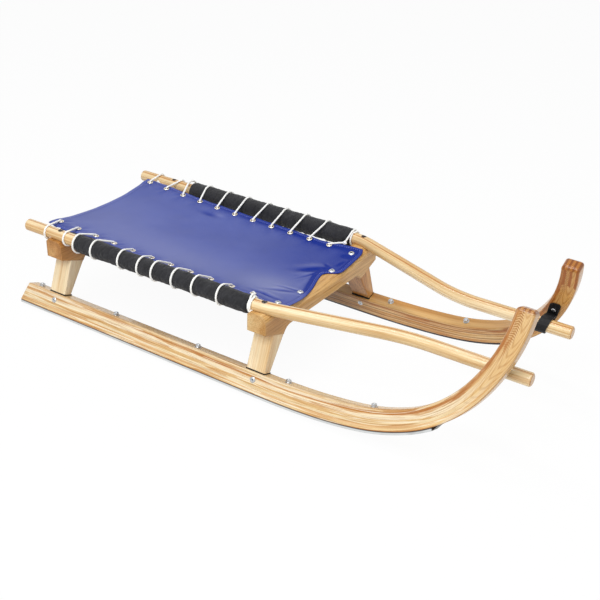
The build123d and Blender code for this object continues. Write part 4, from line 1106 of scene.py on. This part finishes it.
def make_stitches(spot, material):
    """Thread along the hems, each stitch a small raised loop."""
    pile = Pile()
    half = half_width(300)

    def run(points):
        """Stitches at an even pitch along a line of points and their normals."""
        carried = 0.0
        for (a, na), (b, _) in zip(points, points[1:]):
            gap = (b - a).length
            while carried < gap:
                f = carried / gap
                centre = a.lerp(b, f) + na * 0.12
                way = (b - a).normalized()
                out = na.cross(way).normalized()
                verts = []
                for t, r in STITCH:
                    mid = centre + way * t + na * (0.16 if abs(t) < 1 else 0.0)
                    verts += [mid + (out * math.cos(k * math.pi / 3) + na * math.sin(k * math.pi / 3)) * r
                              for k in range(6)]
                pile.add(verts, tube_faces(6, 6))
                carried += STITCH_PITCH
            carried -= gap

    def line(fixed, values, over_u):
        """Points and normals along one side of the seam."""
        points = []
        for value in values:
            u, v = (value, fixed) if over_u else (fixed, value)
            point = spot(u, v, False)[0]
            points.append((point, cover_normal(point.x, point.y)))
        return points

    inset_v = 1 - STITCH_INSET / half
    inset_u = STITCH_INSET / SHEET_MEAN
    steps = [inset_u + (1 - 2 * inset_u) * k / 120 for k in range(121)]
    across = [inset_v * (2 * k / 80 - 1) for k in range(81)]
    run(line(inset_v, steps, True))
    run(line(-inset_v, steps, True))
    run(line(1 - inset_u, across, False))
    run(line(inset_u, across, False))
    return pile.make("seat_stitches", material)


# ------------------------------------------------------------------ eyelets, screws and nuts
def make_eyelets(name, side, material):
    """Rolled brass rings with a barrel through the cloth."""
    pile = Pile()
    bore = EYELET_BORE_R
    profile = [(3.4, -3.15), (bore, -3.0), (bore, 0.1), (bore + 0.5, 0.35), (bore + 1.3, 0.55),
               (bore + 1.9, 1.05), (bore + 2.4, 1.45), (bore + 3.1, 1.3), (bore + 3.7, 0.8),
               (bore + 3.8, 0.2), (bore + 3.6, 0.0), (4.4, -0.1), (3.55, -0.3), (3.55, -2.2),
               (5.2, -2.35), (5.2, -2.9)]
    for x, y in eyelet_places():
        foot = Vector((x, y, cover_height(x, y))) + cover_normal(x, y) * CLOTH_GAP
        ring = lathe(profile, foot, cover_normal(x, y), EYELET_SIDES, ring=True)
        pile.add(*ring, hollow=5 * EYELET_SIDES, mirror=side < 0)
    return pile.make(name, material, 50)


def domed_head(r, h):
    """Round washer head with a small dished drive."""
    return [(r * a, h * b) for a, b in (
        (0.12, 0.35), (0.36, 0.50), (0.38, 0.86), (0.44, 1.0), (0.66, 0.92), (0.84, 0.68), (0.93, 0.42),
        (0.96, 0.30), (1.0, 0.24), (1.0, 0.0))]


def make_seat_screws(material):
    """Heads of the four screws that hold the cover's front edge on the bridge."""
    pile = Pile()
    for y in SEAT_SCREWS:
        top = Vector((FRONT_BRIDGE_X, y, cover_on_bridge(y)))
        out = (Vector((FRONT_BRIDGE_X, 0, TOP_CENTRE_Z)) - top).normalized()
        for mirror in (False, True):
            head = lathe(domed_head(*SEAT_SCREW_HEAD), top + out * CLOTH_GAP, out, HEAD_SIDES)
            pile.add(*head, hollow=2 * HEAD_SIDES, mirror=mirror)
    return pile.make("seat_screw_heads", material, 50)


def make_rail_screws(material):
    """Countersunk heads just below the mouth of each counterbore, with their shanks."""
    pile = Pile()
    deep = RAIL_R - RAIL_SCREW_SUNK
    profile = [(0.5, deep - 1.6), (1.7, deep - 1.5), (1.9, deep - 0.1), (3.4, deep), (3.6, deep - 0.4),
               (2.0, deep - 2.6), (2.0, -RAIL_R - 10)]
    for station in SCREW_STATIONS:
        centre = rail_frame(station)[0]
        for mirror in (False, True):
            pile.add(*lathe(profile, centre, (0, 0, 1)), hollow=3 * 24, mirror=mirror)
    return pile.make("rail_screw_heads", material, 40)


def nut_places():
    """Seat and direction of each nut on the left runner."""
    for s in NUT_STATIONS:
        x, z, heading = walk(SOLE, s)
        foot = Vector(canted(RUNNER_REAR + x, NUT_OFFSET, z))
        rise = math.cos(heading)
        up = Vector((-math.sin(heading), -rise * SIN_CANT, rise * COS_CANT))
        yield foot + up * (runner_thickness(s) + 0.02), up


def make_nuts(name, side, material):
    """Washer, chamfered hexagon nut and stud end on the runner's upper face."""
    pile = Pile()
    for n, (seat, up) in enumerate(nut_places()):
        washer = [(3.2, 0.0), (6.45, 0.0), (6.6, 0.2), (6.6, 1.0), (6.4, NUT_FOOT), (3.2, NUT_FOOT)]
        pile.add(*lathe(washer, seat, up, HEAD_SIDES, ring=True), mirror=side < 0)
        one = up.orthogonal().normalized()
        one.rotate(Matrix.Rotation(0.4 + 0.8 * n, 3, up))
        two = up.cross(one)
        rings = []
        for height, corner in NUT:
            for j in range(24):
                turn = 2 * math.pi * j / 24
                flat = (turn % (math.pi / 3)) - math.pi / 6
                r = min(NUT_CORNER_R * math.cos(math.pi / 6) / math.cos(flat), corner)
                rings.append(seat + up * height + (one * math.cos(turn) + two * math.sin(turn)) * r)
        pile.add(rings, tube_faces(len(NUT), 24), mirror=side < 0)
        stud = [(2.9, 6.0), (2.9, 6.9), (2.5, 7.3), (1.0, 7.35)]
        pile.add(*lathe(stud, seat, up, 20), mirror=side < 0)
    return pile.make(name, material, 30)


def make_foot_bolts(name, side, material):
    """Domed heads on both faces of the runner below each leg."""
    pile = Pile()
    out = Vector((0, COS_CANT, SIN_CANT))
    for x in (REAR_BRIDGE_X - 3.0, FRONT_BRIDGE_X):
        for face, way in ((1, out), (-1, -out)):
            seat = Vector(canted(x, face * RUNNER_WIDTH / 2, FOOT_BOLT_HEIGHT)) + way * 0.05
            head = lathe(domed_head(*FOOT_BOLT_HEAD), seat, way, HEAD_SIDES)
            pile.add(*head, hollow=HEAD_SIDES, mirror=side < 0)
    return pile.make(name, material, 50)


# ------------------------------------------------------------------ lacing
def crossings(side):
    """Where each loop goes round the outside of the rail."""
    return [eyelet_x(i) + lead for i, lead in enumerate(LEADS[side])]


def wrapped(x, side):
    """Distance of the cord's middle line from the rail's at x: it bites into the sleeve a little."""
    on_sleeve = SLEEVE_START < x < SLEEVE_END
    return (SLEEVE_R + SLEEVE_FULLER[side] - 0.8 if on_sleeve else RAIL_R) + CORD_R + 0.1


def lowered(x, side):
    """How far the padding hangs below the rail's middle line."""
    return SLEEVE_LOWER[side] if SLEEVE_START < x < SLEEVE_END else 0.0


def round_rail(x_from, x_to, radius, start, end, low=0.0):
    """Points of a turn round the rail, a few degrees apart."""
    steps = max(3, int(abs(end - start) / math.radians(12)))
    points = []
    for i in range(steps + 1):
        f = i / steps
        turn = start + (end - start) * f
        points.append(Vector((x_from + (x_to - x_from) * f, RAIL_HALF_SPACING + radius * math.cos(turn),
                              RAIL_HEIGHT - low + radius * math.sin(turn))))
    return points


def leaves_rail(point, radius, side, low=0.0):
    """Angle at which a taut cord from a point touches the circle round the rail."""
    dy, dz = point.y - RAIL_HALF_SPACING, point.z - RAIL_HEIGHT + low
    return math.atan2(dz, dy) % (2 * math.pi) + side * math.acos(min(1.0, radius / math.hypot(dy, dz)))


def through_eyelet(x, y):
    """Points of the cord below, in and above an eyelet."""
    normal = cover_normal(x, y)
    top = Vector((x, y, cover_height(x, y)))
    below = top - normal * (COVER_THICKNESS + 4.5)
    return [below, top - normal * 1.0, top + normal * (CLOTH_GAP + 1.3 + CORD_R * 0.9)]


def lacing_line(side):
    """Up through each eyelet, over the rail, down, under and forward to the next eyelet."""
    places = eyelet_places()
    back, ahead = REAR_BRIDGE_X - BRIDGE_WIDTH / 2, REAR_BRIDGE_X + BRIDGE_WIDTH / 2
    points = []
    for i, (x, y) in enumerate(places):
        points += through_eyelet(x, y)
        above = points[-1]
        if i == EYELETS - 1:
            break
        cross = crossings(side)[i]
        radius, low = wrapped(cross, side), lowered(cross, side)
        start = leaves_rail(above, radius, -1, low)
        following = through_eyelet(*places[i + 1])[0]
        over_bridge = cross < back < following.x
        end = math.radians(-195) if over_bridge else leaves_rail(following, radius, 1, low) - 2 * math.pi
        if back < cross < ahead + CORD_R:
            cross = ahead + CORD_R + 0.4
        points += round_rail(cross - 1.0, cross + 1.5, radius, start, end, low)
        if over_bridge:
            rest = points[-1].lerp(following, 0.45)
            points.append(Vector((rest.x, rest.y, max(rest.z, RAIL_HEIGHT - 3.0))))
    last = SLEEVE_END + 2.6
    sleeve_radius = RAIL_R + 4.0 + CORD_R
    if side > 0:
        points += [Vector(KNOT) + Vector((-9, -4, -1)), Vector(KNOT)]
    start = leaves_rail(points[-1], sleeve_radius, -1)
    points += round_rail(last - 1.5, last, sleeve_radius, start, math.radians(75))
    bare = RAIL_R + CORD_R + 0.1
    points += round_rail(last + 0.3, last + 0.4, bare, math.radians(60), math.radians(-255))
    points += round_rail(last + 3.9, last + 4.3, bare, math.radians(-262), math.radians(-395))
    return points


def softened(points, passes=2):
    """Corners rounded off twice over, ends kept."""
    for _ in range(passes):
        cut = [points[0]]
        for a, b in zip(points, points[1:]):
            gap = (b - a).length
            pull = min(0.25, 2.2 / gap) if gap > 0 else 0.25
            cut += [a.lerp(b, pull), a.lerp(b, 1 - pull)]
        points = cut + [points[-1]]
    return points


def cord_mesh(points, radius, side):
    """Tube along points, with distance along and turn round it as its grain."""
    verts, values = [], []
    travelled = 0.0
    over = None
    for k, point in enumerate(points):
        ahead = points[min(k + 1, len(points) - 1)] - points[max(k - 1, 0)]
        ahead.normalize()
        if over is None:
            over = ahead.orthogonal().normalized()
        over = (over - ahead * over.dot(ahead)).normalized()
        sideways = ahead.cross(over)
        if k:
            travelled += (point - points[k - 1]).length
        for j, spot in enumerate(circle(point, over, sideways, radius, CORD_SIDES)):
            verts.append((spot.x, side * spot.y, spot.z))
            values.append((travelled / 1000, 2 * math.pi * j / CORD_SIDES, 0.0))
    return verts, values


def make_lacing(name, side, material):
    """The cord of one side, with a stopper knot under the first eyelet and a hitch beside the last turn."""
    points = softened(lacing_line(side))
    spaced = [points[0]]
    for point in points[1:]:
        if (point - spaced[-1]).length > 0.55:
            spaced.append(point)
    verts, values = cord_mesh(spaced, CORD_R, side)
    faces = tube_faces(len(spaced), CORD_SIDES)
    ties = [(spaced[0], (0, 0.2, 1)), (spaced[-1], (0.3, 0.2, 1))]
    if side > 0:
        ties.append((Vector(KNOT), (0.8, 0.3, 0.3)))
    for centre, way in ties:
        knot = []
        axis = Vector(way).normalized()
        one = axis.orthogonal().normalized()
        two = axis.cross(one)
        for k in range(40):
            t = 2 * math.pi * k / 20
            swing = 2.5 + 0.9 * math.cos(1.5 * t)
            knot.append(centre + (one * math.cos(t) + two * math.sin(t)) * swing * 0.85
                        + axis * (1.6 * math.sin(1.5 * t) + k * 0.05))
        more, more_values = cord_mesh(knot, CORD_R * 0.95, side)
        start = len(verts)
        faces += [tuple(start + i for i in face) for face in tube_faces(len(knot), CORD_SIDES)]
        verts += more
        values += more_values
    return build(name, verts, faces, material, values, 60)


# ------------------------------------------------------------------ sleeves
def make_sleeve(name, side, material):
    """Padded tube, drawn in under each loop of cord and full between them, with soft turned ends."""
    begin = SLEEVE_START + (SLEEVE_LATER if side > 0 else 0.0)
    length = SLEEVE_END - begin
    loops = [x + 0.3 for x in crossings(side) if x > begin + 2]
    stations = [0.0, 0.0, 0.4, 1.4, 3.0, 5.0] + [7 + (length - 14) * i / 220 for i in range(221)]
    stations += [length - 5.0, length - 3.0, length - 1.4, length - 0.4, length, length]
    full = SLEEVE_R + SLEEVE_FULLER[side]
    verts, values, held = [], [], []
    for n, s in enumerate(stations):
        x = begin + s
        near_end = min(s, length - s)
        dome = math.sqrt(max(0.0, 1 - (1 - min(1.0, near_end / 8.0)) ** 2))
        body = RAIL_R + 0.5 + (full - 0.6 - RAIL_R - 0.5) * dome
        if n in (0, len(stations) - 1):
            body = RAIL_R + 0.15
        gap = min(abs(x - loop) for loop in loops)
        pinch = 0.9 * bell(gap / 3.2) * dome
        for j in range(SLEEVE_SIDES):
            turn = 2 * math.pi * j / SLEEVE_SIDES
            ring = (math.cos(turn) * 1.6, math.sin(turn) * 1.6 + 5 * side)
            lump = noise.noise(Vector((x / 21, ring[0] * 0.6, ring[1] * 0.6)))
            fine = noise.noise(Vector((x / 5, ring[0] * 1.6, ring[1] * 1.6)))
            r = body + (0.5 * lump + 0.15 * fine) * dome - pinch
            if side > 0:
                r += 1.6 * dome * bell((turn - math.radians(215)) / 0.9)
            verts.append((x, side * (RAIL_HALF_SPACING + r * math.cos(turn)),
                          RAIL_HEIGHT - SLEEVE_LOWER[side] * dome + r * math.sin(turn)))
            values.append((s / 1000, turn * SLEEVE_R / 1000, 0.0))
            held.append(max(1.0 if near_end < 2.0 else 0.0, bell(gap / 2.2)))
    faces = tube_faces(len(stations), SLEEVE_SIDES, caps=False)
    obj = build(name, verts, faces, material, values, 70)
    fill_out(obj, held, SLEEVE_CAP)
    return obj


def fill_out(obj, held, cap):
    """Fills a padded piece by cloth simulation under pressure, then keeps the shape it reached."""
    group = obj.vertex_groups.new(name="held")
    for index, weight in enumerate(held):
        if weight > 0.05:
            group.add([index], weight, "REPLACE")
    start = [v.co.copy() for v in obj.data.vertices]
    cloth = obj.modifiers.new("filling", "CLOTH")
    for key, value in FILLING.items():
        setattr(cloth.settings, key, value)
    cloth.settings.effector_weights.gravity = 0
    cloth.collision_settings.use_collision = False
    cloth.collision_settings.use_self_collision = False
    scene = bpy.context.scene
    for frame_number in range(1, FRAMES + 1):
        scene.frame_set(frame_number)
    filled = obj.evaluated_get(bpy.context.evaluated_depsgraph_get()).data
    ends = [v.co.copy() for v in filled.vertices]
    obj.modifiers.clear()
    obj.vertex_groups.clear()
    scene.frame_set(1)
    for vertex, before, after in zip(obj.data.vertices, start, ends):
        move = after - before
        if move.length > cap / 1000:
            move *= cap / 1000 / move.length
        vertex.co = before + move
    obj.data.update()


# ------------------------------------------------------------------ studio
def area_light(name, place, target, size, watts):
    """Rectangular lamp at a place in metres, turned towards a target."""
    data = bpy.data.lights.new(name, "AREA")
    data.shape = "RECTANGLE"
    data.size, data.size_y = size
    data.energy = watts
    lamp = placed(name, data)
    lamp.location = place
    lamp.rotation_euler = (Vector(target) - Vector(place)).to_track_quat("-Z", "Y").to_euler()


def seen_directly(p):
    """1 for camera, glossy and transmission rays, which see the white studio itself."""
    path = p.node("LightPath").outputs
    return p.larger(path["Is Camera Ray"], p.larger(path["Is Glossy Ray"], path["Is Transmission Ray"]))


def make_world():
    """Soft even light; rays that see the studio itself meet plain white."""
    world = bpy.data.worlds.new("studio")
    bpy.context.scene.world = world
    p = Paint(world)
    light = p.node("Background", {"Color": (0.96, 0.98, 1.0, 1), "Strength": WORLD_LIGHT}).outputs[0]
    white = p.node("Background", {"Color": (1, 1, 1, 1)}).outputs[0]
    p.node("OutputWorld", {"Surface": p.blend(seen_directly(p), light, white)})


def make_floor():
    """White sweep that keeps the sled's soft shadow."""
    mesh = bpy.data.meshes.new("floor")
    corners = [(x * FLOOR_HALF, y * FLOOR_HALF, 0) for x, y in ((-1, -1), (1, -1), (1, 1), (-1, 1))]
    mesh.from_pydata(corners, [], [(0, 1, 2, 3)])
    floor = placed("floor", mesh)
    floor.location.z = FLOOR_HEIGHT
    p = Paint("floor")
    tone = p.mix(p.noise(p.place(), 3.0, 2.0), (0.90, 0.90, 0.90, 1), (0.92, 0.92, 0.92, 1))
    diffuse = p.node("BsdfDiffuse", {"Color": tone}).outputs[0]
    glow = p.node("Emission", {"Color": (1, 1, 1, 1), "Strength": 1.0}).outputs[0]
    lit = p.blend(FLOOR_GLOW, diffuse, glow)
    p.node("OutputMaterial", {"Surface": p.blend(seen_directly(p), diffuse, lit)})
    mesh.materials.append(p.owner)
    floor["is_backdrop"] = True


# ------------------------------------------------------------------ the whole scene
def cad_finish(node, material, angle=30):
    """Material and smooth shading for a CAD node that stays."""
    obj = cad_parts[node]
    obj.data.materials.clear()
    obj.data.materials.append(material)
    obj.data.shade_smooth()
    obj.data.set_sharp_from_angle(angle=math.radians(angle))


def main():
    """Camera, studio and materials, then every piece of the sled."""
    bpy.context.scene.view_settings.view_transform = "Standard"
    make_camera()
    make_world()
    make_floor()
    for lamp in LAMPS:
        area_light(*lamp)

    # the left runner's copy is darkened far more than the right's: painted shade on the far runner
    wood = {1: runner_wood("runner_wood_left", (0.90, 0.74, 0.50, 1), 0.95, 0.75),
            -1: runner_wood("runner_wood_right", (0.95, 0.90, 0.80, 1), 0.20, 0.15)}
    rod = rail_wood()
    across = ((0, 1, 0), (1, 0, 0), (0, 0, 1))             # the grain of a piece that lies crosswise
    block = bridge_wood("bridge_wood", across, FRONT_BRIDGE_TONES)
    umber = bridge_wood("bridge_wood_rear", across, REAR_BRIDGE_TONES)
    legs = {}
    for side, label in SIDES:
        upright = ((0, -side * SIN_CANT, COS_CANT), (0, COS_CANT, side * SIN_CANT), (1, 0, 0))
        # one copy of the leg wood per side, toned for painted shade on the left and painted light on the
        # right
        legs[side] = bridge_wood("leg_wood_" + label, upright, LEG_TONES[side])
    steel = steel_strip()
    zinc = metal("zinc", "C4C7CA", 0.28, (120, 120, 120), 0.3, 0.2)
    # the eyelets' last colour is the painted shade in their barrels
    brass = metal("eyelet", "EFE8D8", 0.28, (100, 100, 100), 0.2, 0.2, "8A6E46")
    pad, strap = rubber("pad_rubber", "0C0C0D"), rubber("strap_rubber", "121214", 0.60)
    blue, black, white, sewn = seat_fabric(), sleeve_fabric(), cord_fibre(), thread()

    cad_finish("bridge_front", block)
    cad_finish("bridge_rear", umber)
    for side, label in SIDES:
        for end in ("front", "rear"):
            cad_finish("leg_%s_%s" % (end, label), legs[side])
            cad_finish("foot_pad_%s_%s" % (end, label), pad)
        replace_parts(make_steel("steel_strip_" + label, side, steel), "steel_rail_" + label)
        cad_finish("horn_strap_" + label, strap, 40)
        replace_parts(make_runner("runner_body_" + label, side, wood[side]), "runner_" + label)
        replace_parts(make_rail("rail_body_" + label, side, rod), "side_rail_" + label)
        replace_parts(make_sleeve("sleeve_pad_" + label, side, black), "rail_sleeve_" + label)
        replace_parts(make_lacing("lacing_cord_" + label, side, white), "lacing_" + label)
        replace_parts(make_eyelets("eyelet_rings_" + label, side, brass), "eyelets_" + label)
        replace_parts(make_nuts("nuts_" + label, side, zinc), "runner_nuts_" + label)
        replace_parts(make_foot_bolts("bolt_heads_" + label, side, zinc), "foot_bolts_" + label)
    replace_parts(make_rail_screws(zinc), "rail_screws")
    cad_finish("strap_screws", zinc)
    seat, spot = make_seat(blue)
    stitches = make_stitches(spot, sewn)
    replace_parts(seat, "seat_cover")
    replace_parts(make_seat_screws(zinc), "seat_screws")


main()
boxes = [[list(corner) for corner in box] for box in (CAD_BOX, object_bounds())]
